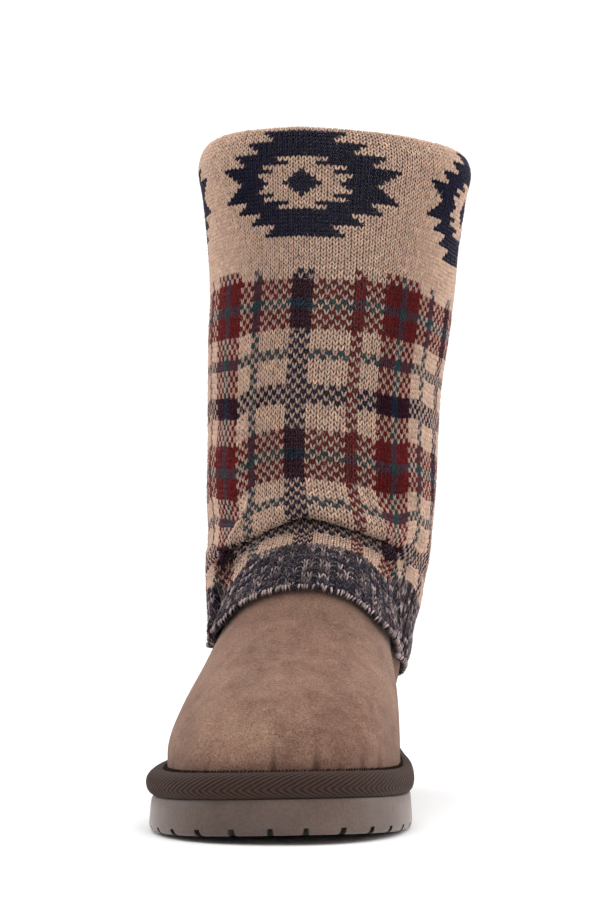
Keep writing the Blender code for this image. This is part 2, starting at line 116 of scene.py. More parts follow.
# ---- knit gauge, charts and yarns
REPEAT = 40
WALES = 4 * REPEAT  # stitches round the shaft
FRONT_WALE = 28.05  # chart column that runs down the middle of the front
BACK_COLUMN = int(np.floor(FRONT_WALE - WALES / 2))
RIB_ROWS, PLAID_ROWS = 10, 62
BAND_ROWS = 37  # from the plaid up to the top of the folded collar
INSIDE_ROWS = 12  # carried on over the fold and down inside, and how high each of these is
INSIDE_PITCH = 1.9
PLAID_TOP = RIB_ROWS + PLAID_ROWS
BAND_TOP = PLAID_TOP + BAND_ROWS
ROWS = BAND_TOP + INSIDE_ROWS
# Hem of the cuff above the part's own, and from there to the top of the rib along the knit.
CUFF = table(
    "turn raise depth",
    (-180, 0, 27), (-60, 0, 27), (-30, 0.3, 29), (-12, 0.6, 28.5), (0, 1.5, 28), (12, 2.8, 29),
    (22, 3.2, 33.5), (36, 2.8, 34), (52, 1.8, 30.5), (75, 1, 26), (180, 0, 27),
)
# Collar's top to the top of the plaid.
BAND = table("turn height", (-180, 61), (0, 60.5), (30, 59.3), (60, 62), (90, 65), (180, 61))

# Yarn, stitches wide, and whether it belongs to a broad group, which is solid where it is crossed.
PLAID_GROUP = (("red", 4, "broad"), ("teal", 2, "broad"), ("red", 4, "broad"))
PLAID_ACROSS = PLAID_GROUP + (
    ("tan", 4), ("teal", 2), ("tan", 7), ("navy", 4), ("tan", 7), ("red", 2), ("tan", 4),
)
PLAID_DOWN = (("tan", 2),) + 2 * (
    PLAID_GROUP + (("tan", 4), ("teal", 2), ("tan", 5), ("navy", 4), ("tan", 5))
)
MEDALLION_COLUMN, MEDALLION_ROW = 24, 15  # its middle: chart column, and rows from the collar's top
# Half widths in stitches, from the middle row outwards: navy ground, tan field in it, navy diamond.
MEDALLION = ((12, 13, 14, 15, 16, 11, 12, 13, 8, 9, 10, 5, 6, 7), (6, 7, 8, 5, 7, 2, 4), (3, 2, 1, 0))

YARNS = {  # linear colours
    "tan": (0.590, 0.405, 0.310),
    "straw": (0.445, 0.295, 0.238),  # the same yarn among dark stitches
    "navy": (0.009, 0.009, 0.026),
    "red": (0.125, 0.010, 0.011),
    "teal": (0.028, 0.054, 0.060),
    "purple": (0.028, 0.004, 0.013),
    "dusk": (0.078, 0.029, 0.042),
    "deep": (0.010, 0.020, 0.040),
    "ecru": (0.440, 0.335, 0.320),
    "slate": (0.013, 0.011, 0.029),
    "mauve": (0.032, 0.019, 0.028),
}
CROSSINGS = {"red": "red", "teal": "teal", "red teal": "dusk", "navy red": "purple", "navy teal": "deep"}

# ---- how the knit lies
# How much closer the wales lie on the flanks than in front and behind, by height.
FLANK_CROWD = table("height share", (0, 0.027), (225, 0.027), (262, -0.012), (300, -0.012))
# The wales lie widest apart a little to the right of the front: by how many, where and how far.
FRONT_SPREAD, SPREAD_MIDDLE, SPREAD_REACH = 1.3, 0.035, 0.07
SLIP = table(  # wales the knitting has slid and is gathered by, against its height in front
    "height wales gather",
    (85, 2.8, 1.3), (118, 2.8, 1.3), (124, 2.2, 0.7), (128, 1.6, 0.2), (137, 0.75, 0), (143, 0.4, 0),
    (150, 0, 0), (300, 0, 0),
)
GATHER_REACH = 0.025  # as a share of the way round
SINK = 0.4  # the stitches' own height, taken off the knit's outer surface

# Slouch fold over the instep: height of its crease, how deep it is, the course that runs along its lip, and
# by how many courses the knitting above sits up on the flanks.
FOLD = table(
    "turn height depth course lag",
    (-120, 98, 0, 20, 0), (-62, 98, 0, 20, 2.6), (-46, 105.5, 0.3, 19.5, 2.4), (-34, 109.8, 0.8, 18.3, 1.2),
    (-20, 117, 1, 18.8, 0), (-8, 124.6, 1, 20.4, 0), (2, 128, 1, 21.5, 0), (10, 126, 1, 21.2, 0),
    (22, 121, 0.95, 20, 0), (34, 115.5, 0.75, 20, 0.4), (46, 108.5, 0.3, 20.4, 1), (62, 100, 0, 21, 1.2),
    (120, 100, 0, 21, 0),
)
# How far the roll stands out, at what height over the crease and how high; and the same of the crease.
ROLL_OUT, ROLL_HEIGHT, ROLL_REACH = 6.4, 8.0, 7.5
CREASE_IN, CREASE_HEIGHT, CREASE_WIDE = 3.2, -0.5, 2.6
# How far the lip hangs, its middle over the crease before it sags, and how far up and down the sag reaches.
LIP_DROP, LIP, LIP_ABOVE, LIP_BELOW = 5.5, 4.5, 16.0, 3.4
TIGHT_ROWS, TIGHTENED = 5, 0.24  # the first courses over the rib lie closer than they would
# How many courses below the lip the crease lies, how many round it get painted shade, and how much darker.
CREASE_ROWS, CREASE_REACH, CREASE_SHADE = 3.2, 2.6, 0.55
# Shallow folds and swells of the slack knit, which run a little downwards away from the front.
SOFT_FOLDS = table(
    "height turn reach up size",
    (142, 18, 34, 6, -1.5), (151, 25, 40, 7, 1.1), (168, -48, 26, 9, -0.9), (118, 62, 26, 8, 1.4),
    (104, 74, 22, 6, -1.2), (128, -66, 24, 7, -1.0), (112, -74, 24, 7, -0.5), (190, 60, 30, 10, -0.7),
    (222, -75, 30, 12, -0.8), (250, 70, 26, 10, -0.8), (96, 165, 50, 7, -1.8), (108, -172, 50, 8, 1.6),
    (128, 175, 50, 8, -1.4), (150, -160, 50, 9, 0.9),
)
SOFT_SLANT = 0.35


# ---- curves
def smooth(xs, ys, x):
    """Cubic through the points (xs, ys) that never overshoots them."""
    steps = np.diff(xs)
    slopes = np.diff(ys) / steps
    left, right = slopes[:-1], slopes[1:]
    same = left * right > 0
    harmonic = np.where(same, 2 * left * right / np.where(same, left + right, 1.0), 0.0)
    tangents = np.concatenate([slopes[:1], harmonic, slopes[-1:]])
    x = np.clip(x, xs[0], xs[-1])
    i = np.clip(np.searchsorted(xs, x) - 1, 0, len(steps) - 1)
    h = steps[i]
    t = (x - xs[i]) / h
    near, far = ys[i] * (1 + 2 * t) * (1 - t) ** 2, ys[i + 1] * t * t * (3 - 2 * t)
    return near + tangents[i] * h * t * (1 - t) ** 2 + far + tangents[i + 1] * h * t * t * (t - 1)


def read(rows, column, key, at):
    return smooth(rows[key], rows[column], at)


def read_side(rows, key, at, lateral):
    return np.where(lateral, read(rows, "lateral", key, at), read(rows, "medial", key, at))


def soft_max(a, b, radius):
    return 0.5 * (a + b + np.sqrt((a - b) ** 2 + radius**2))


def unit(x):
    """Cut off below 0 and above 1."""
    return np.clip(x, 0.0, 1.0)


def ease(share):
    return unit(share) ** 2 * (3 - 2 * unit(share))


def bump(x, middle, width):
    return np.exp(-(((x - middle) / width) ** 2))


def even(count):
    return np.arange(count) / count


def run_along(*axes):
    """Length along a path at each of its points, from an array for each of their coordinates."""
    return np.concatenate([[0.0], np.cumsum(np.linalg.norm(np.diff(axes, axis=1), axis=0))])


def place(station, side, height):
    """Shoe coordinates in millimetres to world coordinates in metres; the toe points along -Y."""
    world = np.stack(np.broadcast_arrays(side - CENTRE_SIDE, LENGTH / 2 - station, height), axis=-1)
    return world / 1000


def from_axis(angle, radius, height):
    return place(ANKLE_STATION + radius * np.cos(angle), ANKLE_SIDE + radius * np.sin(angle), height)


def degrees_round(turn):
    """A turn in degrees between -180 and 180."""
    return np.degrees((turn + pi) % (2 * pi) - pi)


def unit_length(vectors):
    return vectors / np.maximum(np.linalg.norm(vectors, axis=-1, keepdims=True), 1e-12)


def grid_normals(points):
    """Outward normals of a grid whose columns run counterclockwise and rows upwards."""
    across = np.roll(points, -1, axis=1) - np.roll(points, 1, axis=1)
    return unit_length(np.cross(across, np.gradient(points, axis=0)))


def between(grid, row, column):
    """Values of a grid between its rows and columns, which go on from the last to the first."""
    left, low = np.floor(column).astype(int), np.floor(row).astype(int)
    across, up = column - left, row - low
    if grid.ndim == 3:
        across, up = across[..., None], up[..., None]
    left, right = left % grid.shape[1], (left + 1) % grid.shape[1]
    below = grid[low, left] * (1 - across) + grid[low, right] * across
    above = grid[low + 1, left] * (1 - across) + grid[low + 1, right] * across
    return below * (1 - up) + above * up


# ---- sole and foot surfaces, as in the part's source
OUTLINE_STEPS, SLICE_STEPS, TUBE_STEPS = 2880, 1440, 720


def toe_lift(station, side):
    flex_line = FLEX_STATION - FLEX_SLANT * side
    ahead = np.clip(station - flex_line, 0.0, None) / (LENGTH - FLEX_STATION)
    return TOE_SPRING * ahead**2


def tread_height(station, side):
    arch = unit((station - ARCH_START) / (ARCH_END - ARCH_START))
    return ARCH_LIFT * np.sin(pi * arch) ** 2 + toe_lift(station, side)


def sole_top(station, side):
    return read(SOLE_TOP, "height", "station", station) + toe_lift(station, side)


def outline_side(station, inset, back, tip, lateral):
    width = read_side(OUTLINE, "station", station / LENGTH, lateral) - inset
    toe_start = LENGTH - TOE_ROUND
    heel = unit((HEEL_ROUND - station) / (HEEL_ROUND - back))
    toe = unit((station - toe_start) / (tip - toe_start))
    edge = width * (1 - heel**HEEL_SQUARE) ** (1 / HEEL_SQUARE) * (1 - toe**TOE_SQUARE) ** (1 / TOE_SQUARE)
    return np.where(lateral, edge, -edge) + UPPER_SET * inset / UPPER_INSET


def outline(inset, shares):
    """Sole's plan outline, inset all round, at shares of the way round from the heel by the inner side."""
    fine = np.linspace(2 * pi, 0.0, OUTLINE_STEPS + 1)
    stations = LENGTH / 2 - (LENGTH / 2 - inset) * np.cos(fine)
    sides = outline_side(stations, inset, inset, LENGTH - inset, fine < pi)
    run = run_along(stations, sides)
    marks = np.mod(shares, 1.0) * run[-1]
    return np.interp(marks, run, stations), np.interp(marks, run, sides)


def over_sole(inset, shares, rise):
    """Points of that outline, raised above the top of the sole."""
    station, side = outline(inset, shares)
    return place(station, side, sole_top(station, side) + rise)


def foot_slice(height):
    back = float(read(HEEL_BACK, "station", "height", height))
    tip_full = LENGTH - UPPER_INSET
    above = max(height, BULGE_HEIGHT)
    root = np.sqrt(RIDGE["behind"])
    tip = tip_full - float(smooth(RIDGE["height"], root, above)) ** 2
    turn = even(SLICE_STEPS) * 2 * pi
    stations = 0.5 * (back + tip) - 0.5 * (tip - back) * np.cos(turn)
    ridge = smooth(root, RIDGE["height"], np.sqrt(np.clip(tip_full - stations, 0.0, None)))
    rise = (above - BULGE_HEIGHT) / np.maximum(ridge - BULGE_HEIGHT, 1e-6)
    power = np.where(turn < pi, DOME_LATERAL, DOME_MEDIAL)
    dome = (1 - unit(rise) ** power) ** (1 / power)
    return stations, outline_side(stations, UPPER_INSET, back, tip_full, turn < pi) * dome


def polar_radius(ahead, across, angles):
    """Distance from the ankle axis at angles, of an outline that lies ahead of it and across."""
    return np.interp(angles, np.arctan2(across, ahead), np.hypot(ahead, across), period=2 * pi)


def ellipse_radius(rows, height, angles, power):
    """Section at a height: half an ellipse in front and half of another behind, squared off by a power."""
    sizes = (float(read(rows, name, "height", height)) for name in ("front", "back", "half_width"))
    front, back, half_width = sizes
    ahead, across = np.cos(angles), np.sin(angles)
    depth = np.where(ahead > 0, front, back)
    return (np.abs(ahead / depth) ** power + np.abs(across / half_width) ** power) ** (-1 / power)


def foot_radius(angle, height):
    stations, sides = foot_slice(height)
    foot = polar_radius(stations - ANKLE_STATION, sides - ANKLE_SIDE, angle)
    ankle = ellipse_radius(ANKLE, height, angle, ANKLE_SQUARE)
    return soft_max(foot, ankle, ANKLE_BLEND * unit((height - BULGE_HEIGHT) / ANKLE_RISE))


def tube_shift(height):
    return float(read(SHAFT, "side", "height", height)) - ANKLE_SIDE


def tube_radius(angle, height):
    turn = even(TUBE_STEPS) * 2 * pi - pi
    radius = ellipse_radius(SHAFT, height, turn, 2.0)
    return polar_radius(radius * np.cos(turn), radius * np.sin(turn) + tube_shift(height), angle)


def edge_height(rows, angle):
    """Height of the hem or the collar at angles from straight ahead."""
    return read_side(rows, "angle", np.degrees(np.abs(angle)), angle > 0)


# ---- the same surfaces as grids, one row for each millimetre of height
TURN_STEPS = 1440
TURN_STEP = 2 * pi / TURN_STEPS
TURNS = np.arange(TURN_STEPS) * TURN_STEP - pi
FIRST_HEIGHT = 8.0
HEIGHTS = np.arange(FIRST_HEIGHT, 303.0)
SWING_STEPS = 4  # turn steps to each side over which the suede's slant is measured


def surface_grids():
    """Radius of the suede's and of the knit's outer face."""
    foot = np.array([foot_radius(TURNS, height) for height in HEIGHTS])
    slope = np.gradient(foot, axis=0)
    swing = np.roll(foot, -SWING_STEPS, axis=1) - np.roll(foot, SWING_STEPS, axis=1)
    lean = np.sqrt(1 + slope**2 + (swing / (2 * SWING_STEPS * TURN_STEP * foot)) ** 2)
    tube = np.array([tube_radius(TURNS, height) for height in HEIGHTS])
    leaving = LEAVE_RATE * np.clip(HEIGHTS - LEAVE_HEIGHT, 0.0, None)[:, None]
    blend = KNIT_BLEND * np.clip(np.cos(TURNS), BLEND_LEAST, 1.0)
    return foot, soft_max(foot + (KNIT_CLEAR + KNIT_THICK) * lean - leaving, tube, blend)


FOOT_GRID, KNIT_GRID = surface_grids()


def sample(grid, turn, height):
    row = np.clip(np.asarray(height, float) - FIRST_HEIGHT, 0.0, len(grid) - 1.001)
    return between(grid, row, (np.asarray(turn, float) + pi) / TURN_STEP)


# ---- small tools for meshes
def put(name, data):
    """New object in the scene."""
    made = bpy.data.objects.new(name, data)
    bpy.context.scene.collection.objects.link(made)
    return made


def add_object(name, mesh, material, body="root"):
    piece = put(name, mesh)
    mesh.materials.append(material)
    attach(piece, body)
    return piece


def mesh_from(name, points, faces):
    """Smooth mesh from an array of points and an array of faces."""
    mesh = bpy.data.meshes.new(name)
    mesh.from_pydata(points.tolist(), [], faces.tolist(), shade_flat=False)
    return mesh


def ring_mesh(name, rings):
    """Mesh over a grid of points that closes from its last column and its last row to its first."""
    rows, columns = rings.shape[:2]
    i, j = np.arange(rows)[:, None], np.arange(columns)[None, :]
    up, right = (i + 1) % rows * columns, (j + 1) % columns
    corners = np.broadcast_arrays(i * columns + j, i * columns + right, up + right, up + j)
    return mesh_from(name, rings.reshape(-1, 3), np.stack(corners, axis=-1).reshape(-1, 4))


def shell(name, outer, thick):
    """Closed shell: a grid of points, and the same grid pushed in by its thickness in millimetres."""
    inner = outer - grid_normals(outer) * thick / 1000
    return ring_mesh(name, np.concatenate([outer, inner[::-1]]))


def mark(mesh, name, values, domain="POINT"):
    """A number for each vertex or face."""
    layer = mesh.attributes.new(name, "FLOAT", domain)
    layer.data.foreach_set("value", np.asarray(values, np.float32).ravel())


def paint(mesh, colours):
    """Yarn colours, one for each vertex."""
    layer = mesh.color_attributes.new("yarn", "FLOAT_COLOR", "POINT")
    full = np.concatenate([colours, np.ones((len(colours), 1))], axis=1)
    layer.data.foreach_set("color", full.astype(np.float32).ravel())


def many(name, points, faces, colours, skin, across, down):
    """Painted mesh of many like bits, from each one's points, with a grid of texture cells, one for each bit.

    Faces are the corners of one bit's triangles, and skin is where these lie in its cell.
    """
    count, each = points.shape[:2]
    which = np.arange(count)[:, None, None]
    mesh = mesh_from(name, points.reshape(-1, 3), (faces + each * which).reshape(-1, 3))
    paint(mesh, colours.reshape(-1, 3))
    cell = np.stack([which % across, which // across], axis=-1)
    layer = mesh.uv_layers.new(name="OFBake")
    layer.data.foreach_set("uv", ((cell + skin) / (across, down)).astype(np.float32).ravel())
    return mesh


# ---- small tools for materials
def fill(tree, node, inputs):
    """Set a node's inputs, or link them where what is given is another node's output."""
    for key, value in inputs.items():
        if isinstance(value, bpy.types.NodeSocket):
            tree.links.new(value, node.inputs[key])
        elif value is not None:
            node.inputs[key].default_value = value


def add(tree, kind, inputs=None, **settings):
    made = tree.nodes.new("ShaderNode" + kind)
    for key, value in settings.items():
        setattr(made, key, value)
    fill(tree, made, inputs or {})
    return made


def new_material(name, look, roughness, specular, sheen=0.0, sheen_roughness=0.5, tint=(1.0, 1.0, 1.0)):
    """Principled material; look makes its nodes and gives its base colour and its normal."""
    made = bpy.data.materials.new(name)
    made.use_nodes = True
    tree = made.node_tree
    colour, normal = look(tree)
    fill(tree, tree.nodes["Principled BSDF"], {
        "Base Color": colour, "Normal": normal, "Roughness": roughness, "Specular IOR Level": specular,
        "Sheen Weight": sheen, "Sheen Roughness": sheen_roughness, "Sheen Tint": (*tint, 1.0),
    })
    return made


def coords(tree, kind="Object"):
    return add(tree, "TexCoord").outputs[kind]


def attribute(tree, name, output="Fac"):
    return add(tree, "Attribute", attribute_name=name).outputs[output]


def noise(tree, scale, detail=2.0, rough=0.5):
    inputs = {"Vector": coords(tree), "Scale": scale, "Detail": detail, "Roughness": rough}
    return add(tree, "TexNoise", inputs).outputs["Fac"]


def ramp(tree, value, *stops):
    """Colour ramp through (position, colour or grey) stops."""
    made = add(tree, "ValToRGB", {"Fac": value})
    band = made.color_ramp
    while len(band.elements) < len(stops):
        band.elements.new(0.5)
    for element, (position, colour) in zip(band.elements, stops):
        element.position = position
        element.color = (colour, colour, colour, 1.0) if isinstance(colour, float) else (*colour, 1.0)
    return made.outputs["Color"]


def mix(tree, share, a, b, kind="MIX"):
    made = add(tree, "Mix", data_type="RGBA", blend_type=kind, clamp_result=False)
    a, b = (value if isinstance(value, bpy.types.NodeSocket) else (*value, 1.0) for value in (a, b))
    fill(tree, made, {0: share, 6: a, 7: b})  # the node's sockets for colours
    return made.outputs[2]


def bump_node(tree, height, distance, strength=1.0, normal=None):
    inputs = {"Height": height, "Distance": distance, "Strength": strength, "Normal": normal}
    return add(tree, "Bump", inputs).outputs["Normal"]


# ---- camera, light and floor
CAMERA_TURN = radians(4.0)  # the toe points a little to the viewer's left
CAMERA_AWAY = 1.5 + 0.139  # from the middle of the boot
CAMERA_HEIGHT = 0.155
CAMERA_SLIDE = 0.00663  # to the viewer's left
SENSOR, FOCAL, CAMERA_NEAR = 36.0, 153.4, 0.05
LIGHTS = (  # place, size and power
    ("left_box", (-1.3, 0.25, 0.8), (0.9, 1.2), 8.0),
    ("right_box", (1.3, 0.35, 0.8), (0.9, 1.2), 12.0),
    ("top_box", (0.0, -0.8, 1.6), (1.2, 0.9), 9.0),
)
LIT_AT = Vector((0.0, 0.0, 0.14))
FLOOR_REACH = 2.1
SKY = ((0.0, 0.16), (1.0, 1.0))  # grey of the light from below and from above
SKY_STRENGTH, BACKDROP, FLOOR_GREY = 1.4, 0.8, 0.955


def camera():
    data = bpy.data.cameras.new("camera")
    data.sensor_fit = "VERTICAL"
    data.sensor_height = SENSOR
    data.lens = FOCAL
    data.clip_start = CAMERA_NEAR
    made = put("camera", data)
    away = Vector((sin(CAMERA_TURN), -cos(CAMERA_TURN), 0.0))
    right = Vector((cos(CAMERA_TURN), sin(CAMERA_TURN), 0.0))
    made.location = away * CAMERA_AWAY - right * CAMERA_SLIDE + Vector((0.0, 0.0, CAMERA_HEIGHT))
    made.rotation_euler = (pi / 2, 0.0, CAMERA_TURN)
    bpy.context.scene.camera = made


def studio():
    world = bpy.data.worlds.new("studio")
    world.use_nodes = True
    tree = world.node_tree
    up = add(tree, "SeparateXYZ", {"Vector": coords(tree, "Generated")}).outputs["Z"]
    seen = add(tree, "LightPath").outputs["Is Camera Ray"]
    colour = mix(tree, seen, ramp(tree, up, *SKY), (BACKDROP,) * 3)
    fill(tree, tree.nodes["Background"], {"Color": colour, "Strength": SKY_STRENGTH})
    bpy.context.scene.world = world
    bpy.context.scene.view_settings.view_transform = "Standard"
    for name, spot, size, power in LIGHTS:
        data = bpy.data.lights.new(name, "AREA")
        data.shape = "RECTANGLE"
        data.size, data.size_y = size
        data.energy = power
        light = put(name, data)
        light.location = spot
        light.rotation_euler = (LIT_AT - Vector(spot)).to_track_quat("-Z", "Y").to_euler()
    mesh = bpy.data.meshes.new("floor")
    corners = [(x * FLOOR_REACH, y * FLOOR_REACH, 0.0) for x, y in ((-1, -1), (1, -1), (1, 1), (-1, 1))]
    mesh.from_pydata(corners, [], [(0, 1, 2, 3)])
    white = (FLOOR_GREY,) * 3 + (1.0,)
    mesh.materials.append(new_material("floor", lambda tree: (white, None), 0.7, 0.2))
    floor = put("floor", mesh)


# ---- rubber outsole and sock lining
SOLE_AROUND, LINING_AROUND = 288, 160
SOLE_ACROSS = 6  # quads from side to side on its top and bottom
TREAD_STEPS = 720  # points of the outline that the notches are set out on
SHARP_EDGE = radians(38.0)
# A face is inside a notch, which is painted dark as painted shade, from so far in, from this far over the
# tread, to so far over the notch's height.
CUT_INSET, CUT_LOW, CUT_HIGH = 2.4, 0.4, 0.3
# Edge from the tread up: how far in, share of the way from the tread up to the top, and how far above that.
SOLE_EDGE = (
    (3.0, 0.0, 0.0), (1.6, 0.0, 0.25), (0.7, 0.0, 0.9), (0.15, 0.0, 1.9), (0.0, 0.0, 3.2), (0.15, 0.35, 0.0),
    (0.5, 0.7, 0.0), (0.8, 0.9, -0.4), (1.4, 1.0, -0.3), (2.2, 1.0, 0.0),
)
LINING_EDGE = (  # how far in, and how far above the sole
    (0.6, GAP), (0.0, GAP + 0.8), (0.0, INSOLE_THICK - 1.2), (0.4, INSOLE_THICK - 0.4), (1.4, INSOLE_THICK),
)


def rubber_look(tree):
    tone = ramp(tree, noise(tree, 55.0, 4.0, 0.6), (0.3, (0.078, 0.047, 0.037)), (0.7, (0.119, 0.077, 0.062)))
    speck = ramp(tree, noise(tree, 900.0), (0.35, (0.07, 0.046, 0.038)), (0.65, (0.16, 0.112, 0.094)))
    wear = ramp(tree, noise(tree, 17.0, 3.0, 0.6), (0.36, 0.80), (0.64, (1.20, 1.19, 1.18)))
    tone = mix(tree, 1.0, mix(tree, 0.25, tone, speck), wear, "MULTIPLY")
    fine = bump_node(tree, noise(tree, 1600.0, 3.0), 0.0002, 0.5)
    normal = bump_node(tree, noise(tree, 130.0, 3.0), 0.0006, 0.35, fine)
    # painted shade: the faces inside the notches are mixed towards near black
    return mix(tree, attribute(tree, "cut"), tone, (0.018, 0.010, 0.007)), normal


def add_rings(mesh, rings):
    made = [[mesh.verts.new(point) for point in ring] for ring in rings]
    for low, high in zip(made, made[1:]):
        for j in range(len(low)):
            k = (j + 1) % len(low)
            mesh.faces.new((low[j], low[k], high[k], high[j]))
    return made


def sole_strips(mesh, ring, height_at):
    """Close a sole outline with strips that run from side to side and follow a height function."""
    count = len(ring)
    rows = [[ring[0]]]
    for j in range(1, count // 2):
        near, far = ring[j], ring[count - j]
        row = [near]
        for step in range(1, SOLE_ACROSS):
            spot = near.co.lerp(far.co, step / SOLE_ACROSS)
            station, side = LENGTH / 2 - spot.y * 1000, spot.x * 1000 + CENTRE_SIDE
            row.append(mesh.verts.new((spot.x, spot.y, float(height_at(station, side)) / 1000)))
        rows.append([*row, far])
    rows.append([ring[count // 2]])
    for low, high in zip(rows, rows[1:]):
        wide = max(len(low), len(high))
        low, high = (row * wide if len(row) == 1 else row for row in (low, high))
        for j in range(wide - 1):
            mesh.faces.new(list(dict.fromkeys((low[j], low[j + 1], high[j + 1], high[j]))))


def finished(name, mesh):
    """Plain mesh from an edited one, which is freed."""
    bmesh.ops.recalc_face_normals(mesh, faces=mesh.faces)
    data = bpy.data.meshes.new(name)
    mesh.to_mesh(data)
    mesh.free()
    return data


def slab(name, rings, bottom, top):
    """Closed form with rings of points round its edge and two height functions below and above."""
    mesh = bmesh.new()
    made = add_rings(mesh, rings)
    sole_strips(mesh, made[0], bottom)
    sole_strips(mesh, made[-1], top)
    return finished(name, mesh)


def wedge(mesh, centre, inward, length, foot, head, bottom, top):
    """One tread groove: a bar with a trapezium section, lying along inward from centre."""
    across = np.array([-inward[1], inward[0], 0.0])
    rings = []
    for reach in (0.0, length):
        base = np.array([*centre, 0.0]) + np.array([*inward, 0.0]) * reach
        corners = ((-foot, bottom), (foot, bottom), (head, top), (-head, top))
        rings.append([(base + across * width / 2 + (0.0, 0.0, height)) / 1000 for width, height in corners])
    near, far = add_rings(mesh, rings)
    mesh.faces.new(near)
    mesh.faces.new(far[::-1])


def tread_cutter():
    """Notches at an even pitch round the tread edge, and straight grooves across ball and heel."""
    mesh = bmesh.new()
    station, side = outline(0.0, even(TREAD_STEPS))
    spots = np.stack([side - CENTRE_SIDE, LENGTH / 2 - station], axis=-1)
    run = run_along(*np.append(spots, spots[:1], axis=0).T)
    count = int(round(run[-1] / NOTCH_PITCH))
    for at in (np.arange(count) + 0.5) * run[-1] / count:
        i = int(np.searchsorted(run, at)) % TREAD_STEPS
        along = spots[(i + 3) % TREAD_STEPS] - spots[i - 3]
        inward = np.array([-along[1], along[0]]) / np.hypot(*along)
        low = float(tread_height(station[i], side[i]))
        wedge(mesh, spots[i] - inward * CUT_CLEAR, inward, NOTCH_DEPTH + CUT_CLEAR, NOTCH_FOOT, NOTCH_HEAD,
              low - CUT_CLEAR, low + NOTCH_HEIGHT)
    ends = (GROOVE_MARGIN, GROOVE_MARGIN, LENGTH - GROOVE_MARGIN)
    for middle in GROOVES:
        medial, lateral = (float(outline_side(middle, *ends, outer)) for outer in (False, True))
        low = float(tread_height(middle, 0.0))
        start = (medial - CENTRE_SIDE, LENGTH / 2 - middle)
        wedge(mesh, start, (1.0, 0.0), lateral - medial, GROOVE_FOOT, GROOVE_HEAD,
              low - CUT_CLEAR, low + GROOVE_DEPTH)
    return finished("tread_cutter", mesh)


def mark_notches(mesh):
    """Mark the faces inside the tread's notches, which are painted dark as painted shade."""
    centres = np.zeros(len(mesh.polygons) * 3)
    mesh.polygons.foreach_get("center", centres)
    x, y, z = centres.reshape(-1, 3).T * 1000
    station, side = LENGTH / 2 - y, x + CENTRE_SIDE
    edge_station, edge_side = outline(0.0, even(TREAD_STEPS))
    inset = np.hypot(station[:, None] - edge_station, side[:, None] - edge_side).min(axis=1)
    lift = z - tread_height(station, side)
    mark(mesh, "cut", (inset > CUT_INSET) & (lift > CUT_LOW) & (lift < NOTCH_HEIGHT + CUT_HIGH), "FACE")


def outsole():
    rings = []
    for inset, share, lift in SOLE_EDGE:
        station, side = outline(inset, even(SOLE_AROUND))
        low, high = tread_height(station, side), sole_top(station, side)
        rings.append(place(station, side, low * (1 - share) + high * share + lift))
    block = put("sole_block", slab("sole_block", rings, tread_height, sole_top))
    cutter = put("tread_cutter", tread_cutter())
    cut = block.modifiers.new("tread", "BOOLEAN")
    cut.solver = "EXACT"
    cut.object = cutter
    evaluated = block.evaluated_get(bpy.context.evaluated_depsgraph_get())
    mesh = bpy.data.meshes.new_from_object(evaluated)
    mesh.materials.clear()
    for solid in (block, cutter):
        bpy.data.objects.remove(solid)
    mesh.shade_smooth()
    mesh.set_sharp_from_angle(angle=SHARP_EDGE)
    mark_notches(mesh)
    rubber = new_material("rubber", rubber_look, 0.5, 0.4, 0.5, 0.35, (1.0, 0.9, 0.86))
    piece = add_object("rubber_outsole", mesh, rubber)
    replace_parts(piece, "outsole")


def insole():
    inset = UPPER_INSET + UPPER_WALL + 4 * GAP
    rings = [over_sole(inset + pull, even(LINING_AROUND), rise) for pull, rise in LINING_EDGE]
    bottom, top = (lambda *at, rise=rise: sole_top(*at) + rise for rise in (GAP, INSOLE_THICK))
    mesh = slab("sock_lining", rings, bottom, top)
    mesh.shade_smooth()
    piece = add_object("sock_lining", mesh, fleece("sock_fleece", (0.58, 0.47, 0.38)))
    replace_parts(piece, "insole")


# ---- herringbone tape rand
TAPE_LENGTH = 690.0  # round the boot, near enough for the pitch of its ridges
RIDGE_PITCH, RIDGE_COLUMNS, RIDGE_RELIEF = 3.3, 7, 0.32
RIDGE_LEAN = 1.9  # how far a ridge runs along the tape for each millimetre across it
TAPE_APEX = 0.42  # where the ridges meet, as a share of the way up the tape
TAPE_ROWS = 16
TAPE_LIFT = 0.1  # off the sole
TAPE_FOOT, TAPE_HEAD = 0.45, 0.7  # how square the tape's lower and upper halves are
STITCH_COUNT = 420  # stitches that hold the tape to the suede
STITCH = ((0.6, 0.8), (-0.3, 0.75), (-1.2, 0.1), (-1.9, -0.7))  # inwards and up from the tape's top
STITCH_SIZE = 0.30


def tape_look(tree):
    # painted shade: near black in the troughs between the ridges, brown on their crests
    tone = ramp(tree, attribute(tree, "ridge"), (0.0, (0.006, 0.003, 0.002)), (1.0, (0.064, 0.034, 0.026)))
    fibre = noise(tree, 1400.0, 3.0, 0.6)
    fluff = ramp(tree, fibre, (0.3, (0.016, 0.009, 0.006)), (0.8, (0.08, 0.047, 0.037)))
    return mix(tree, 0.35, tone, fluff), bump_node(tree, fibre, 0.0003, 0.7)


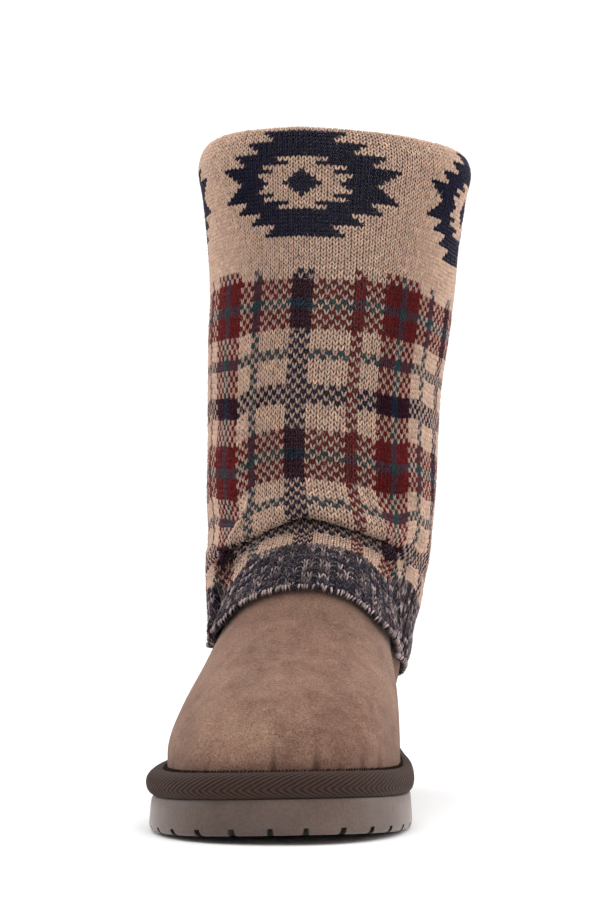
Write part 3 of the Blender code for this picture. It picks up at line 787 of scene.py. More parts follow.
def rand_binding():
    """Padded tape round the base, with the twill's ridges as real relief that meets in a chevron."""
    inner = UPPER_INSET - GAP
    columns = int(round(TAPE_LENGTH / RIDGE_PITCH)) * RIDGE_COLUMNS
    turns = np.linspace(-pi / 2, pi / 2, TAPE_ROWS)
    bulge = np.maximum(np.cos(turns), 0) ** np.where(turns < 0, TAPE_FOOT, TAPE_HEAD)
    bulge[[0, -1]] = 0.0
    insets = inner - (inner + RAND_OVERHANG) * bulge
    rises = TAPE_LIFT + RAND_HEIGHT * (0.5 + 0.5 * np.sin(turns))
    run = run_along(insets, rises)
    ridge = 0.5 + 0.5 * np.cos(2 * pi * np.arange(columns) / RIDGE_COLUMNS)
    rings = []
    for inset, rise, along in zip(insets, rises, run):
        shares = even(columns) + RIDGE_LEAN * abs(along - TAPE_APEX * run[-1]) / TAPE_LENGTH
        proud = RIDGE_RELIEF * np.sqrt(max(1 - (2 * along / run[-1] - 1) ** 2, 0.0)) * (ridge - 0.5)
        station, side = outline(inset, shares)
        out_station, out_side = outline(inset - 1.0, shares)
        station, side = station + (out_station - station) * proud, side + (out_side - side) * proud
        rings.append(place(station, side, sole_top(station, side) + rise))
    mesh = ring_mesh("rand", np.array(rings))
    # ridge places the tape's painted shade in the troughs
    mark(mesh, "ridge", np.tile(ridge, TAPE_ROWS))
    tape = new_material("tape", tape_look, 0.85, 0.2, 0.12, 0.3, (0.9, 0.75, 0.68))
    piece = add_object("herringbone_rand", mesh, tape)
    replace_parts(piece, "rand_binding")
    rand_stitches()


def rand_stitches():
    """Dark thread over the joint of the tape and the suede."""
    chance = np.random.default_rng(5)
    shares = even(STITCH_COUNT) + chance.normal(0.0, 0.12, STITCH_COUNT) / STITCH_COUNT
    top = TAPE_LIFT + RAND_HEIGHT
    spine = np.stack([over_sole(UPPER_INSET + inset, shares, top + rise) for inset, rise in STITCH], axis=1)
    out = (spine[:, -1] - spine[:, 0]) * (1.0, 1.0, 0.0) + (0.0, 0.0, 0.003)
    normals = np.repeat(out[:, None], len(STITCH), axis=1)
    size = STITCH_SIZE * (1 + 0.2 * chance.normal(size=(STITCH_COUNT, 2)))
    tone = chance.uniform(0.6, 1.3, (STITCH_COUNT, 1)) * (0.020, 0.011, 0.008)
    mesh = strands("rand_stitches", spine, normals, size, size, spindle_shades(tone))
    thread = new_material("thread", lambda tree: (attribute(tree, "yarn", "Color"), None), 0.9, 0.1)
    add_object("rand_stitches", mesh, thread)


# ---- suede foot
FOOT_AROUND, FOOT_ROWS = 288, 70
LINED_AROUND, LINED_ROWS = 160, 28
TOE_SHARE = 0.62  # how much closer the points lie round the toe than they would lie evenly
ROW_SPREAD = 1.15  # over 1, the rows lie closer low down
SUEDE_THICK, SUEDE_GAP = 1.2, 0.2
# Small gathers where the suede runs into the rand.
PUCKERS = table(
    "turn reach width depth",
    (-24, 9, 1.6, 0.5), (-15.5, 8, 1.3, 0.45), (-9, 6, 1.1, 0.35), (-3.2, 6, 1, 0.35), (-0.6, 12, 1.1, 0.8),
    (4.4, 14, 1.2, 0.9), (7.2, 8, 1.1, 0.5), (10.2, 11, 1.4, 0.7), (13, 13, 1.3, 0.7), (19, 10, 1.6, 0.6),
    (30, 9, 1.6, 0.6), (62, 8, 1.6, 0.5), (118, 8, 1.6, 0.5), (-48, 8, 1.6, 0.5), (-95, 8, 1.6, 0.5),
    (-140, 8, 1.6, 0.5),
)
# Broad soft dents (negative) and swells in the suede: how far each reaches across and up.
DENTS = table(
    "turn height across up depth",
    (8.5, 47, 6, 13, -0.9), (12.5, 56, 7, 10, 0.7), (16, 45, 5, 14, -0.8), (19.5, 58, 8, 9, 0.6),
    (0, 66, 22, 6, -0.5), (-8, 50, 16, 10, 0.6), (-16, 62, 10, 12, -0.7), (4, 82, 18, 5, 0.5),
    (-24, 48, 9, 10, 0.5), (150, 60, 14, 6, -0.6), (-150, 72, 14, 6, -0.6),
)
# Where the nap is brushed the other way and looks darker.
BRUSHED = table(
    "turn height across up shade",
    (6.5, 52, 8, 12, 0.52), (1, 35, 9, 5, 0.42), (9.5, 36, 7, 5, 0.36), (11, 68, 7, 6, 0.3),
    (-7, 72, 12, 5, 0.34), (2, 88, 14, 4, 0.4), (-13, 40, 9, 6, 0.34), (15, 40, 3.5, 9, 0.4),
    (40, 50, 22, 9, 0.2), (-60, 44, 24, 10, 0.2), (140, 50, 26, 12, 0.2),
)
# How dark the painted shade on the suede is right under the hem and beside the tape, and over what height
# that fades.
HEM_SHADE, HEM_FADE, TAPE_FADE = 0.62, 13.0, 4.5


def suede_look(tree):
    patch, nap = noise(tree, 150.0, 5.0, 0.7), noise(tree, 1250.0, 3.0, 0.75)
    blotches = (0.38, (0.160, 0.088, 0.064)), (0.50, (0.220, 0.127, 0.091)), (0.62, (0.295, 0.179, 0.127))
    tone = ramp(tree, noise(tree, 34.0, 4.0, 0.55), *blotches)
    ruddy = ramp(tree, noise(tree, 21.0, 3.0, 0.6), (0.46, 0.0), (0.60, 0.8))
    tone = mix(tree, ruddy, tone, (0.190, 0.098, 0.072))
    tone = mix(tree, ramp(tree, patch, (0.38, 0.0), (0.68, 0.7)), tone, (0.300, 0.182, 0.131))
    grain = ramp(tree, nap, (0.3, (0.46, 0.44, 0.43)), (0.7, (1.42, 1.42, 1.41)))
    tone = mix(tree, 1.0, tone, grain, "MULTIPLY")
    # painted shade, with the darker brushed nap, mixes the suede towards dark brown
    low = ramp(tree, attribute(tree, "low"), (0.0, 0.0), (1.0, 0.8))
    normal = bump_node(tree, nap, 0.0005, 0.8, bump_node(tree, patch, 0.0012, 0.35))
    return mix(tree, low, tone, (0.088, 0.047, 0.038)), normal


def fleece(name="fleece", colour=(0.62, 0.50, 0.41)):
    """Short curly pile."""
    def look(tree):
        inputs = {"Vector": coords(tree), "Scale": 420.0, "Randomness": 1.0}
        curl = add(tree, "TexVoronoi", inputs).outputs["Distance"]
        light, dark = tuple(min(1.15 * part, 0.95) for part in colour), tuple(0.62 * part for part in colour)
        soft = bump_node(tree, curl, 0.0022, 0.8)
        normal = bump_node(tree, noise(tree, 900.0, 4.0, 0.7), 0.0012, 0.8, soft)
        return ramp(tree, curl, (0.0, light), (0.75, dark)), normal

    return new_material(name, look, 1.0, 0.1, 0.6, tint=(1.0, 0.95, 0.9))


def suede_relief(turn, height, floor):
    """How far the suede stands off its plain form, and how much darker it is painted: painted shade in its
    gathers and dents, painted light on its swells, and its darker brushed nap.
    """
    radius = sample(FOOT_GRID, turn, height)
    above_rand = np.maximum(height - floor - RAND_HEIGHT * 0.6, 0.0)
    total, shade = np.zeros_like(radius), np.zeros_like(radius)
    for angle, reach, width, depth in zip(*PUCKERS.values()):
        off = (turn - radians(angle)) * radius
        fade = depth * bump(above_rand, 0.0, reach)
        gather = fade * bump(off, 0.0, width)
        total += 0.8 * fade * bump(np.abs(off), 1.9 * width, width) - 2.0 * gather
        # painted shade in the hollow of each gather
        shade += 1.5 * gather
    for angle, middle, across, up, depth in zip(*DENTS.values()):
        dent = depth * bump((turn - radians(angle)) * radius, 0.0, across) * bump(height, middle, up)
        total += dent
        # painted shade in the dents and painted light on the swells
        shade -= 0.35 * dent
    for angle, middle, across, up, darker in zip(*BRUSHED.values()):
        # the brushed nap's own darker tone
        shade += darker * bump((turn - radians(angle)) * radius, 0.0, across) * bump(height, middle, up)
    return total, shade


def foot_surface(rows, around, relief):
    """Grid over the outside of the foot, and how dark the suede is painted at its points: painted shade
    beside the tape, under the hem and in its hollows, with its darker brushed nap.
    """
    shares = even(around)
    station, side = outline(UPPER_INSET, shares + TOE_SHARE * np.sin(2 * pi * shares) / (2 * pi))
    turns = np.arctan2(side - ANKLE_SIDE, station - ANKLE_STATION)
    floor = sole_top(station, side) + GAP
    rings, shade_and_nap = [], []
    for share in np.linspace(0.0, 1.0, rows) ** ROW_SPREAD:
        heights = floor + share * (UPPER_TOP - floor)
        # painted shade on the suede beside the tape
        low = np.exp(-np.maximum(heights - floor - RAND_HEIGHT * 0.8, 0.0) / TAPE_FADE)
        # painted shadow on the suede under the hem
        under = HEM_SHADE * np.exp(-np.maximum(edge_height(HEM, turns) - heights, 0.0) / HEM_FADE)
        radii = sample(FOOT_GRID, turns, heights)
        if relief:
            rise, shade = suede_relief(turns, heights, floor)
            radii = radii + rise
            # the relief's painted shade and the darker brushed nap
            low = low + 0.55 * shade
        rings.append(from_axis(turns, radii, heights))
        shade_and_nap.append(np.maximum(low, under))
    return np.array(rings), np.array(shade_and_nap)


def foot_upper():
    outer, shade_and_nap = foot_surface(FOOT_ROWS, FOOT_AROUND, True)
    mesh = shell("suede", outer, SUEDE_THICK)
    # the low attribute holds the suede's painted shade and its darker brushed nap
    mark(mesh, "low", np.concatenate([shade_and_nap, shade_and_nap[::-1]]))
    suede = new_material("suede", suede_look, 0.95, 0.12, 0.18, 0.35, (1.0, 0.87, 0.79))
    piece = add_object("suede_foot", mesh, suede)
    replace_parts(piece, "foot_upper")
    outer, _ = foot_surface(LINED_ROWS, LINED_AROUND, False)
    inside = outer - grid_normals(outer) * (SUEDE_THICK + SUEDE_GAP) / 1000
    lining = shell("foot_fleece", inside, UPPER_WALL - SUEDE_THICK - SUEDE_GAP)
    add_object("foot_fleece", lining, fleece())


# ---- knit: the sheet that the stitches lie on
PER_WALE, PER_ROW = 2, 2  # sheet columns for each wale and rows for each course
BELOW_NECK = 91  # points of a meridian up to the neck; over it there is one for each millimetre
FOLD_HEIGHT = 280.0  # where the wales run straight on over the collar
OVER_FOLD = 25  # points over the collar's fold
HEM_TUCK, HEM_TURN = 1.7, 8.0  # how far the hem draws in against the suede, and over what height
COLLAR_EASE = 24.0  # depth inside the collar at which the fold has thinned to the lining


def course_turns(columns, heights, shift, settled):
    """Turn of each chart column along a course: by its length, and crowded on the flanks once it has settled.

    Under the fold the knitting has slid round to the lateral side and is gathered in front.
    """
    radii = sample(KNIT_GRID, TURNS, heights)
    ahead, across = radii * np.cos(TURNS), radii * np.sin(TURNS)
    path = np.stack([ahead, across, heights])
    run = run_along(*np.append(path, path[:, :1], axis=1))
    share = run[:-1] / run[-1]
    share = share - np.interp(0.0, np.unwrap(np.arctan2(across - shift, ahead)), share)
    off = (share - SPREAD_MIDDLE) / SPREAD_REACH
    crowd = settled * read(FLANK_CROWD, "share", "height", np.mean(heights))
    front = np.interp(0.0, TURNS, heights)
    slipped, gathered = (read(SLIP, name, "height", front) for name in ("wales", "gather"))
    at = FRONT_WALE - slipped + WALES * (share + crowd * np.sin(2 * pi * share) ** 3)
    at = at + gathered * np.tanh(share / GATHER_REACH) * np.cos(pi * share) ** 2
    at = at - settled * FRONT_SPREAD * off * np.exp(-off**2)
    at = np.concatenate([at - WALES, at, at + WALES])
    return np.interp(columns, at, np.concatenate([TURNS - 2 * pi, TURNS, TURNS + 2 * pi]))


def cuff_hem(turn):
    angle = degrees_round(turn)
    return edge_height(HEM, np.radians(angle)) + read(CUFF, "raise", "turn", angle)


def knit_relief(turn, height):
    """How far the slouching knit stands off its plain form, and how far it sags down."""
    angle = degrees_round(turn)
    depth = read(FOLD, "depth", "turn", angle)
    above = height - read(FOLD, "height", "turn", angle)
    crease = CREASE_IN * bump(above, CREASE_HEIGHT, CREASE_WIDE)
    out = depth * (ROLL_OUT * bump(above, ROLL_HEIGHT, ROLL_REACH) - crease)
    down = depth * LIP_DROP * bump(above, LIP, np.where(above > LIP, LIP_ABOVE, LIP_BELOW))
    for middle, side_turn, reach, up, size in zip(*SOFT_FOLDS.values()):
        slant = middle + (angle - side_turn) * SOFT_SLANT * np.sign(-side_turn)
        out = out + size * bump(angle, side_turn, reach) * bump(height, slant, up)
    return out, down


def knit_meridians():
    """For each half wale, turns, heights and how far in its points lie, from the hem up, over the collar and
    down inside; and the collar's height there."""
    columns = BACK_COLUMN + np.arange(WALES * PER_WALE) / PER_WALE
    at_collar = course_turns(columns, np.full_like(TURNS, FOLD_HEIGHT), tube_shift(FOLD_HEIGHT), 1.0)
    collar = edge_height(COLLAR, np.radians(degrees_round(at_collar)))
    fold = collar - COLLAR_DROP
    hem_line = cuff_hem(TURNS)
    below = [(share, 0.0) for share in np.linspace(0.0, 1.0, BELOW_NECK)]
    turns, heights, pulls = [], [], []
    for share, beyond in below + [(1.0, rise) for rise in np.arange(1.0, fold.max() - NECK_HEIGHT)]:
        course = hem_line + share * (NECK_HEIGHT - hem_line) + beyond
        turns.append(course_turns(columns, course, share * tube_shift(NECK_HEIGHT + beyond), share))
        hem = cuff_hem(turns[-1])
        heights.append(hem + share * (NECK_HEIGHT - hem) + beyond)
        pulls.append(HEM_TUCK * (1 - ease(share * (NECK_HEIGHT - hem) / HEM_TURN)))
    turns, heights, pulls = map(np.array, (turns, heights, pulls))
    over = np.linspace(0.0, pi, OVER_FOLD)
    down = np.arange(1.0, INSIDE_ROWS * INSIDE_PITCH + 8.0)
    rolled = COLLAR_THICK / 2 * (1 - np.cos(over))
    inside = COLLAR_THICK - (COLLAR_THICK - SHAFT_WALL - 0.5) * ease(down / COLLAR_EASE)
    paths = []
    for k in range(len(columns)):
        keep = heights[:, k] < fold[k]
        turn = np.pad(turns[keep, k], (0, len(over) + len(down)), "edge")
        height = np.concatenate([heights[keep, k], fold[k] + COLLAR_DROP * np.sin(over), fold[k] - down])
        paths.append((turn, height, np.concatenate([pulls[keep, k], rolled, inside])))
    return paths, collar


def knit_sheet():
    """Grid of points that the stitches lie on: PER_ROW rows for each course, PER_WALE columns for each wale;
    and how deep each column is folded over the instep, and its course at the lip of the fold."""
    paths, collar = knit_meridians()
    marks = np.arange(ROWS * PER_ROW + 1) / PER_ROW
    sheet, folded_by = np.zeros((len(marks), len(paths), 3)), np.zeros((len(paths), 2))
    for k, (turn, height, pull) in enumerate(paths):
        out, down = knit_relief(turn, height)
        fade = unit(1 - pull / 2)
        radius = sample(KNIT_GRID, turn, height) - pull - SINK
        plain = from_axis(turn, radius, height)
        points = from_axis(turn, radius + out * fade, height - down * fade)
        plain_run, run = run_along(*plain.T * 1000), run_along(*points.T * 1000)
        top = int(np.argmax(plain[:, 2]))
        angle = degrees_round(turn[:top])
        over = height[:top] - read(FOLD, "height", "turn", angle) - LIP
        lip, plain_lip, lip_angle = (np.interp(0.0, over, values[:top]) for values in (run, plain_run, angle))
        plaid_at = collar[k] - read(BAND, "height", "turn", angle[-1])
        plaid, plain_plaid = (np.interp(plaid_at, height[:top], values[:top]) for values in (run, plain_run))
        rib = float(read(CUFF, "depth", "turn", angle[0]))
        plain_row = RIB_ROWS + PLAID_ROWS * (plain_lip - rib) / (plain_plaid - rib)
        depth, course, lag = (read(FOLD, name, "turn", lip_angle) for name in ("depth", "course", "lag"))
        lip_row = depth * course + (1 - depth) * plain_row
        lip_row = soft_max(lip_row - lag, RIB_ROWS + TIGHT_ROWS + 1.0, 0.8)
        folded_by[k] = depth, lip_row
        tight = (1 - TIGHTENED * depth) * TIGHT_ROWS / (lip_row - RIB_ROWS)
        knots = [0.0, RIB_ROWS, RIB_ROWS + TIGHT_ROWS, lip_row, PLAID_TOP, BAND_TOP, ROWS]
        inside = run[top] + INSIDE_ROWS * INSIDE_PITCH
        lengths = [0.0, rib, rib + tight * (lip - rib), lip, plaid, run[top], inside]
        at = np.interp(marks, knots, lengths)
        for axis in range(3):
            sheet[:, k, axis] = np.interp(at, run, points[:, axis])
    return sheet, folded_by


SHEET, FOLDED_BY = knit_sheet()
SHEET_NORMALS = grid_normals(SHEET)


def on_sheet(wale, row, out):
    """Points that stand off the knit sheet and its normals there, at places counted in wales and rows; out is
    in millimetres."""
    column = np.asarray(wale) * PER_WALE
    course = np.clip(np.asarray(row) * PER_ROW, 0.0, len(SHEET) - 1.001)
    normals = unit_length(between(SHEET_NORMALS, course, column))
    beyond = (np.asarray(row) * PER_ROW - course)[..., None]
    rise = (SHEET[1] - SHEET[0])[np.floor(column).astype(int) % SHEET.shape[1]] * beyond
    return between(SHEET, course, column) + rise + normals * (np.asarray(out) / 1000)[..., None], normals


# ---- knit: charts
def spread(bands):
    return [(name, broad) for name, count, *broad in bands for _ in range(count)]


def plaid_yarn(column, row):
    """Yarn of one plaid stitch: a stripe or a band over plain ground alternates with the ground, and so does
    a thin stripe over a thin band."""
    (stripe, wide), (band, deep) = spread(PLAID_ACROSS)[column % REPEAT], spread(PLAID_DOWN)[row]
    if stripe == "tan" and band == "tan":
        return "tan"
    if "tan" not in (stripe, band) and (wide or deep):
        return CROSSINGS[" ".join(sorted({stripe, band}))]
    return "straw" if (column + row) % 2 else band if stripe == "tan" else stripe


def medallion_yarn(column, row):
    """Yarn of one stitch of the top band, medallions on plain ground; row counts down from the fold."""
    off = abs((column - MEDALLION_COLUMN + REPEAT // 2) % REPEAT - REPEAT // 2)
    away = abs(row - MEDALLION_ROW)
    ground, field, diamond = (away < len(widths) and off <= widths[away] for widths in MEDALLION)
    return "navy" if ground and (diamond or not field) else "tan"


def yarn_at(wale, row):
    column = wale + BACK_COLUMN
    if row < RIB_ROWS:
        return "slate"
    if row < PLAID_TOP:
        return plaid_yarn(column, PLAID_TOP - 1 - row)
    return medallion_yarn(column, BAND_TOP - 1 - row) if row < BAND_TOP else "tan"


# ---- knit: stitches
# One leg of a stitch: places across and up in wales and rows, height off the sheet and size in millimetres.
KNIT_LEG = table(
    "across up out wide thick",
    (0.03, -0.22, -0.50, 0.0, 0.0), (0.13, 0.18, 0.12, 0.160, 0.42), (0.33, 0.92, 0.02, 0.155, 0.42),
    (0.43, 1.36, -0.45, 0.0, 0.0),
)
PURL_LEG = table(
    "across up out wide thick",
    (0.00, 0.70, -1.3, 0.0, 0.0), (0.15, 0.66, -0.9, 0.18, 0.42), (0.36, 0.48, -0.9, 0.18, 0.42),
    (0.54, 0.28, -1.4, 0.0, 0.0),
)
LEG_SIDES, LOOP_SIDES, RINGS = 4, 6, 2
CELL_EDGE, CELL_USED = 0.08, 0.84  # of a strand's texture cell
LOOP = table("up out", (-0.30, -1.5), (-0.08, 0.1), (0.34, 0.45), (0.76, -0.5))
LOOP_WIDE, LOOP_THICK = 0.44, 0.55
FUZZ_COUNT = 40000  # loose fibres over the outside of the knit
# FUZZ_PALE is painted light: the fibres are painted paler than their yarn for a haze of light
FUZZ_LENGTH, FUZZ_WIDE, FUZZ_PALE = (1.2, 3.0), 0.10, 1.15
FUZZ_WALE, FUZZ_ROW = 2.0, 2.1  # millimetres in a wale and a row, near enough for a fibre
RIB_GROUP = 3  # two knit wales and a sunk one between them
MARL_TWIST = 0.35  # turns of the marled yarn's light ply between two rings of a leg
MARL_LIGHT = 0.55  # share of the marled yarn's skin that is light
COLLAR_ROWS = 6  # below the top of the fold, with which the collar's piece starts
BACKING_FACE, BACKING_BACK = 0.8, 2.1  # behind the sheet
# painted shade: the backing is painted darker than its yarns, for the shade between the stitches
BACKING_SHADE = 0.42  # of its yarns, to the stitches'
LINING_RINGS, LINING_COLUMNS, LINING_THICK = 50, 120, 1.8
LINING_TUCK = 2.0  # how far under the widest part of the collar the lining starts, behind the knit
LINING_LEAN, LINING_EASE = 3.5, 18.0  # how far it leans in there, and over what height
LINING_SINK, LINING_RISE = 3.3, 40.0  # how much deeper it lies behind the folds, and up to what height


def dyed(tree, fibre, dark, light):
    """The painted yarn colour, darker and lighter from fibre to fibre."""
    grain = ramp(tree, fibre, (0.3, dark), (0.7, light))
    return mix(tree, 1.0, attribute(tree, "yarn", "Color"), grain, "MULTIPLY")


def yarn_look(tree):
    fibre = noise(tree, 2600.0, 3.0, 0.7)
    tufts = bump_node(tree, noise(tree, 700.0), 0.0004, 0.5)
    return dyed(tree, fibre, 0.78, 1.18), bump_node(tree, fibre, 0.0003, 0.8, tufts)


def backing_look(tree):
    fibre = noise(tree, 1500.0, 3.0, 0.7)
    return dyed(tree, fibre, 0.55, 1.1), bump_node(tree, fibre, 0.0008, 0.8)


def strand_template(sides, rings=RINGS):
    """Triangles of a spindle with a tip at each end, and where each corner lies on its unrolled skin."""
    faces, skin = [], []
    top, last = 1 + sides * rings, 1 + sides * (rings - 1)
    for j in range(sides):
        k = (j + 1) % sides
        faces.append((1 + k, 1 + j, 0))
        skin.append(((j + 1, 1), (j, 1), (j + 0.5, 0)))
        for level in range(rings - 1):
            a, b = 1 + level * sides, 1 + (level + 1) * sides
            faces += [(a + j, a + k, b + k), (a + j, b + k, b + j)]
            skin += [((j, level + 1), (j + 1, level + 1), (j + 1, level + 2)),
                     ((j, level + 1), (j + 1, level + 2), (j, level + 2))]
        faces.append((last + j, last + k, top))
        skin.append(((j, rings), (j + 1, rings), (j + 0.5, rings + 1)))
    return np.array(faces), np.array(skin, float) / (sides, rings + 1)


def strands(name, spine, normals, wide, thick, colours, sides=LEG_SIDES):
    """Mesh of many spindles; spine holds each one's tip, ring centres and other tip, in metres."""
    count = len(spine)
    along = unit_length(spine[:, 2:] - spine[:, :-2])
    beside = unit_length(np.cross(normals[:, 1:-1], along))
    upright = np.cross(along, beside)
    turns = (2 * pi * even(sides) + pi / 2)[:, None]
    ring = (
        spine[:, 1:-1, None]
        + beside[:, :, None] * (np.cos(turns) * wide[..., None, None] / 1000)
        + upright[:, :, None] * (np.sin(turns) * thick[..., None, None] / 1000)
    )
    points = np.concatenate([spine[:, :1], ring.reshape(count, -1, 3), spine[:, -1:]], axis=1)
    faces, skin = strand_template(sides)
    across = int(np.ceil(np.sqrt(count * 2.0)))
    skin = CELL_EDGE + CELL_USED * skin
    return many(name, points, faces, colours, skin, across, int(np.ceil(count / across)))


def spindle_shades(colours, sides=LEG_SIDES, ends=0.80):
    """The same colour all over each spindle, with painted shade that makes it a little darker at its tips."""
    shade = np.concatenate([[ends], np.repeat(1.0, sides * RINGS), [ends]])
    return colours[:, None, :] * shade[None, :, None]


def marl(rows, wales, chance):
    """Two plies twisted together, one light and one dark, at every point of both legs of each stitch."""
    count = len(rows)
    slate, mauve, ecru = (np.array(YARNS[name]) for name in ("slate", "mauve", "ecru"))
    drift = chance.normal(size=(3, RIB_ROWS, WALES // 2 + 1))
    pale_run, blue_run, shade_run = (grid[rows, wales // 2] for grid in drift)
    paleness = np.clip(0.28 + 1.5 * (0.25 * pale_run + chance.normal(0.0, 0.4, count)), 0.03, 1.1)
    blue = unit(0.55 + 0.45 * blue_run)[:, None]
    dark = (slate * blue + mauve * (1 - blue)) * np.exp(0.22 * shade_run)[:, None]
    side, ring = np.meshgrid(even(LEG_SIDES), np.arange(RINGS) * MARL_TWIST)
    turn = np.concatenate([[0.0], (side + ring).ravel(), [0.5]])[None] + chance.random((2 * count, 1))
    share = unit((np.cos(2 * pi * turn) - np.cos(pi * MARL_LIGHT)) * 3.0 + 0.5)
    share = (share * np.repeat(paleness, 2)[:, None])[..., None]
    tone = np.repeat(dark, 2, axis=0)[:, None] * (1 - share) + ecru * share
    return tone * np.exp(chance.normal(0.0, 0.15, (2 * count, 1, 1)))


def yarn_colours(wales, rows, chance):
    """Heathered colour of both legs of each stitch at each of their points, with painted shade in the crease
    under the fold's lip.
    """
    count = len(wales)
    base = np.array([YARNS[yarn_at(wale, row)] for wale, row in zip(wales, rows)])[:, None]
    pair = base * np.exp(chance.normal(0.0, 0.08, (count, 2, 1)) + chance.normal(0.0, 0.05, (count, 1, 1)))
    pair = (pair * np.exp(chance.normal(0.0, 0.03, (count, 2, 3)))).reshape(-1, 3)
    depth, lip_row = FOLDED_BY[wales * PER_WALE].T
    # painted shade in the crease under the fold's lip
    painted_crease_shade = CREASE_SHADE * depth * bump(rows + 0.5, lip_row - CREASE_ROWS, CREASE_REACH)
    full = spindle_shades(pair) * (1 - np.repeat(painted_crease_shade, 2))[:, None, None]
    rib = rows < RIB_ROWS
    full[np.repeat(rib, 2)] = marl(rows[rib], wales[rib], chance)
    return full


def stitches(name, first, last, material):
    """Both legs of every stitch in a range of rows."""
    chance = np.random.default_rng(first + 7)
    rows, wales = np.mgrid[first:last, 0:WALES].reshape(2, -1)
    colours = yarn_colours(wales, rows, chance)
    sunk = ((rows < RIB_ROWS) & (wales % RIB_GROUP == RIB_GROUP - 1))[:, None]
    shape = {key: np.where(sunk, PURL_LEG[key], KNIT_LEG[key]) for key in KNIT_LEG}
    loose = chance.normal(size=(len(wales), 3)) * (0.03, 0.05, 0.06)
    left, right = (on_sheet(edge, rows + 0.5, 0.0 * wales)[0] for edge in (wales, wales + 1.0))
    span = np.linalg.norm(right - left, axis=-1)[:, None] * 1000
    legs = []
    for hand in (-1.0, 1.0):
        swell = 1 + 0.10 * chance.normal(size=(len(wales), 1))
        spine, normal = on_sheet(
            wales[:, None] + 0.5 + hand * shape["across"] + loose[:, :1],
            rows[:, None] + shape["up"] + loose[:, 1:2],
            shape["out"] + loose[:, 2:],
        )
        legs.append((spine, normal, shape["wide"][:, 1:-1] * span * swell, shape["thick"][:, 1:-1] * swell))
    both = (np.stack(pair, axis=1).reshape(-1, *pair[0].shape[1:]) for pair in zip(*legs))
    add_object(name, strands(name, *both, colours), material)


def hem_loops(material):
    """Light bound-off loops along the hem."""
    chance = np.random.default_rng(3)
    count = WALES * 2
    wales = (np.arange(count) + chance.normal(0.0, 0.12, count)) * WALES / count
    lean = 0.15 + chance.normal(0.0, 0.28, count)
    rises = LOOP["up"] * (1 + chance.normal(0.0, 0.14, (count, 1)))
    outs = LOOP["out"] + 0.15 * chance.normal(size=(count, 1))
    spine, normal = on_sheet(wales[:, None] + 0.5 + lean[:, None] * (rises - 0.3), rises, outs)
    tone = np.where(chance.random((count, 1)) < 0.78, YARNS["ecru"], YARNS["mauve"])
    tone = tone * chance.uniform(0.5, 1.1, (count, 1))
    size = 1 + 0.12 * chance.normal(size=(count, 2))
    # painted shade, darker at each loop's tips
    colours = spindle_shades(tone, sides=LOOP_SIDES, ends=0.5)
    mesh = strands("hem_loops", spine, normal, LOOP_WIDE * size, LOOP_THICK * size, colours, LOOP_SIDES)
    add_object("hem_loops", mesh, material)


def knit_fuzz(material):
    """Loose fibres that arch off the yarn, each two thin triangles long, painted paler than their yarn as
    painted light.
    """
    chance = np.random.default_rng(11)
    wales = chance.uniform(0.0, WALES, FUZZ_COUNT)
    rows = chance.uniform(0.2, BAND_TOP + 4.0, FUZZ_COUNT)
    heading = chance.uniform(0.0, 2 * pi, FUZZ_COUNT)[:, None]
    steps = np.array([0.0, 0.5, 1.0]) * chance.uniform(*FUZZ_LENGTH, FUZZ_COUNT)[:, None]
    arch = chance.uniform(0.25, 0.8, (FUZZ_COUNT, 1))
    outs = np.concatenate([0.0 * arch, arch, chance.uniform(0.0, 1.0, (FUZZ_COUNT, 1)) * arch * 1.3], axis=1)
    spine, normals = on_sheet(
        wales[:, None] + steps * np.cos(heading) / FUZZ_WALE,
        np.maximum(rows[:, None] + steps * np.sin(heading) / FUZZ_ROW, 0.0),
        outs,
    )
    facing = normals[:, 1] + chance.normal(0.0, 0.6, (FUZZ_COUNT, 3))
    beside = unit_length(np.cross(facing, unit_length(spine[:, 2] - spine[:, 0]))) * FUZZ_WIDE / 2000
    points = np.stack([spine[:, 0], spine[:, 1] + beside, spine[:, 1] - beside, spine[:, 2]], axis=1)
    yarns = np.array([YARNS[yarn_at(int(w) % WALES, int(r))] for w, r in zip(wales, rows)])
    yarns = np.where((rows < RIB_ROWS)[:, None], np.array(YARNS["ecru"]) * 0.6, yarns)
    faces = np.array([(0, 1, 2), (1, 3, 2)])
    skin = np.array([[(0.1, 0.1), (0.9, 0.1), (0.1, 0.9)], [(0.9, 0.1), (0.9, 0.9), (0.1, 0.9)]])
    across = int(np.ceil(np.sqrt(FUZZ_COUNT)))
    mesh = many("knit_fuzz", points, faces, np.repeat(yarns * FUZZ_PALE, 4, axis=0), skin, across, across)
    add_object("knit_fuzz", mesh, material)


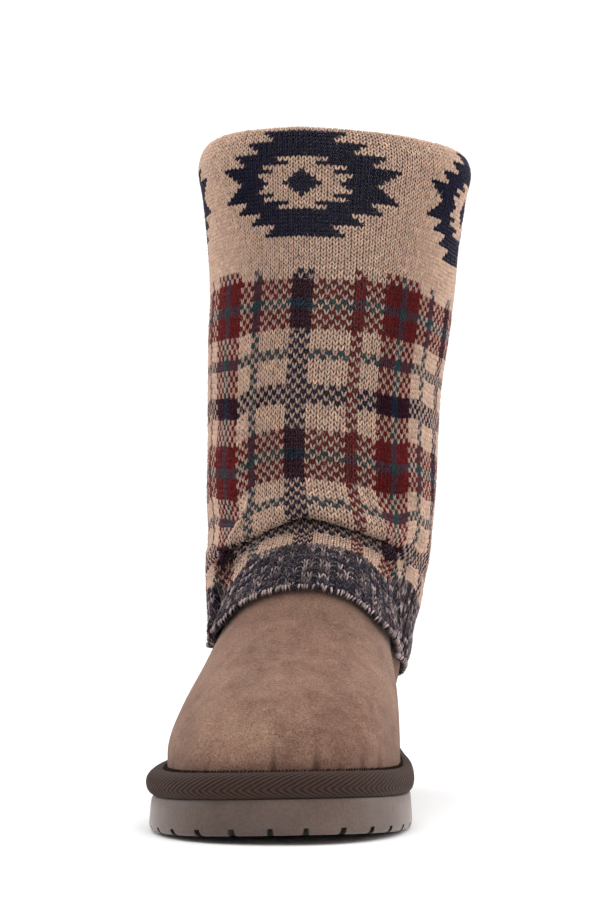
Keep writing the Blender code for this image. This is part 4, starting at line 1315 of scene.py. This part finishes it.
def knit_backing():
    """Close web of the knit's wrong side, painted darker than its yarns as painted shade, seen between the
    stitches and under the hem.
    """
    sheet, normals = SHEET[1::PER_ROW, ::PER_WALE], SHEET_NORMALS[1::PER_ROW, ::PER_WALE]
    outer, inner = (sheet - normals * depth / 1000 for depth in (BACKING_FACE, BACKING_BACK))
    mesh = ring_mesh("knit_back", np.concatenate([outer, inner[::-1]]))
    yarns = np.array([[YARNS[yarn_at(wale, row)] for wale in range(WALES)] for row in range(ROWS)])
    soft = (yarns + np.roll(yarns, 1, axis=1) + np.roll(yarns, -1, axis=1)) / 3
    # the backing's colours carry painted shade
    paint(mesh, BACKING_SHADE * np.concatenate([soft, soft[::-1]]).reshape(-1, 3))
    backing = new_material("knit_back", backing_look, 1.0, 0.05, 0.2)
    return add_object("knit_backing", mesh, backing)


def shaft_fleece():
    """Lining inside the shaft, from behind the knit at the collar down to the suede foot."""
    turns = even(LINING_COLUMNS) * 2 * pi - pi
    top = edge_height(COLLAR, turns) - COLLAR_DROP - LINING_TUCK
    rings = []
    for share in np.linspace(0.0, 1.0, LINING_RINGS):
        heights = UPPER_TOP + GAP + share * (top - UPPER_TOP - GAP)
        sunk = LINING_SINK * (1 - ease((heights - UPPER_TOP) / LINING_RISE))
        pull = SHAFT_WALL + sunk + LINING_LEAN * (1 - ease((top - heights) / LINING_EASE))
        rings.append(from_axis(turns, sample(KNIT_GRID, turns, heights) - pull, heights))
    inner = np.array(rings)
    outer = inner + grid_normals(inner) * LINING_THICK / 1000
    mesh = ring_mesh("shaft_fleece", np.concatenate([outer, inner[::-1]]))
    add_object("shaft_fleece", mesh, fleece("shaft_pile"))


def knit_shaft():
    yarn = new_material("yarn", yarn_look, 0.95, 0.08, 0.3, 0.3, (1.0, 0.9, 0.86))
    names = ("knit_rib", "knit_plaid_low", "knit_plaid_high", "knit_band", "knit_collar")
    edges = (0, RIB_ROWS, RIB_ROWS + PLAID_ROWS // 2, PLAID_TOP, BAND_TOP - COLLAR_ROWS, ROWS)
    for name, first, last in zip(names, edges, edges[1:]):
        stitches(name, first, last, yarn)
    hem_loops(yarn)
    knit_fuzz(yarn)
    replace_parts(knit_backing(), "knit_shaft")
    shaft_fleece()


def main():
    camera()
    studio()
    outsole()
    rand_binding()
    insole()
    foot_upper()
    knit_shaft()


main()
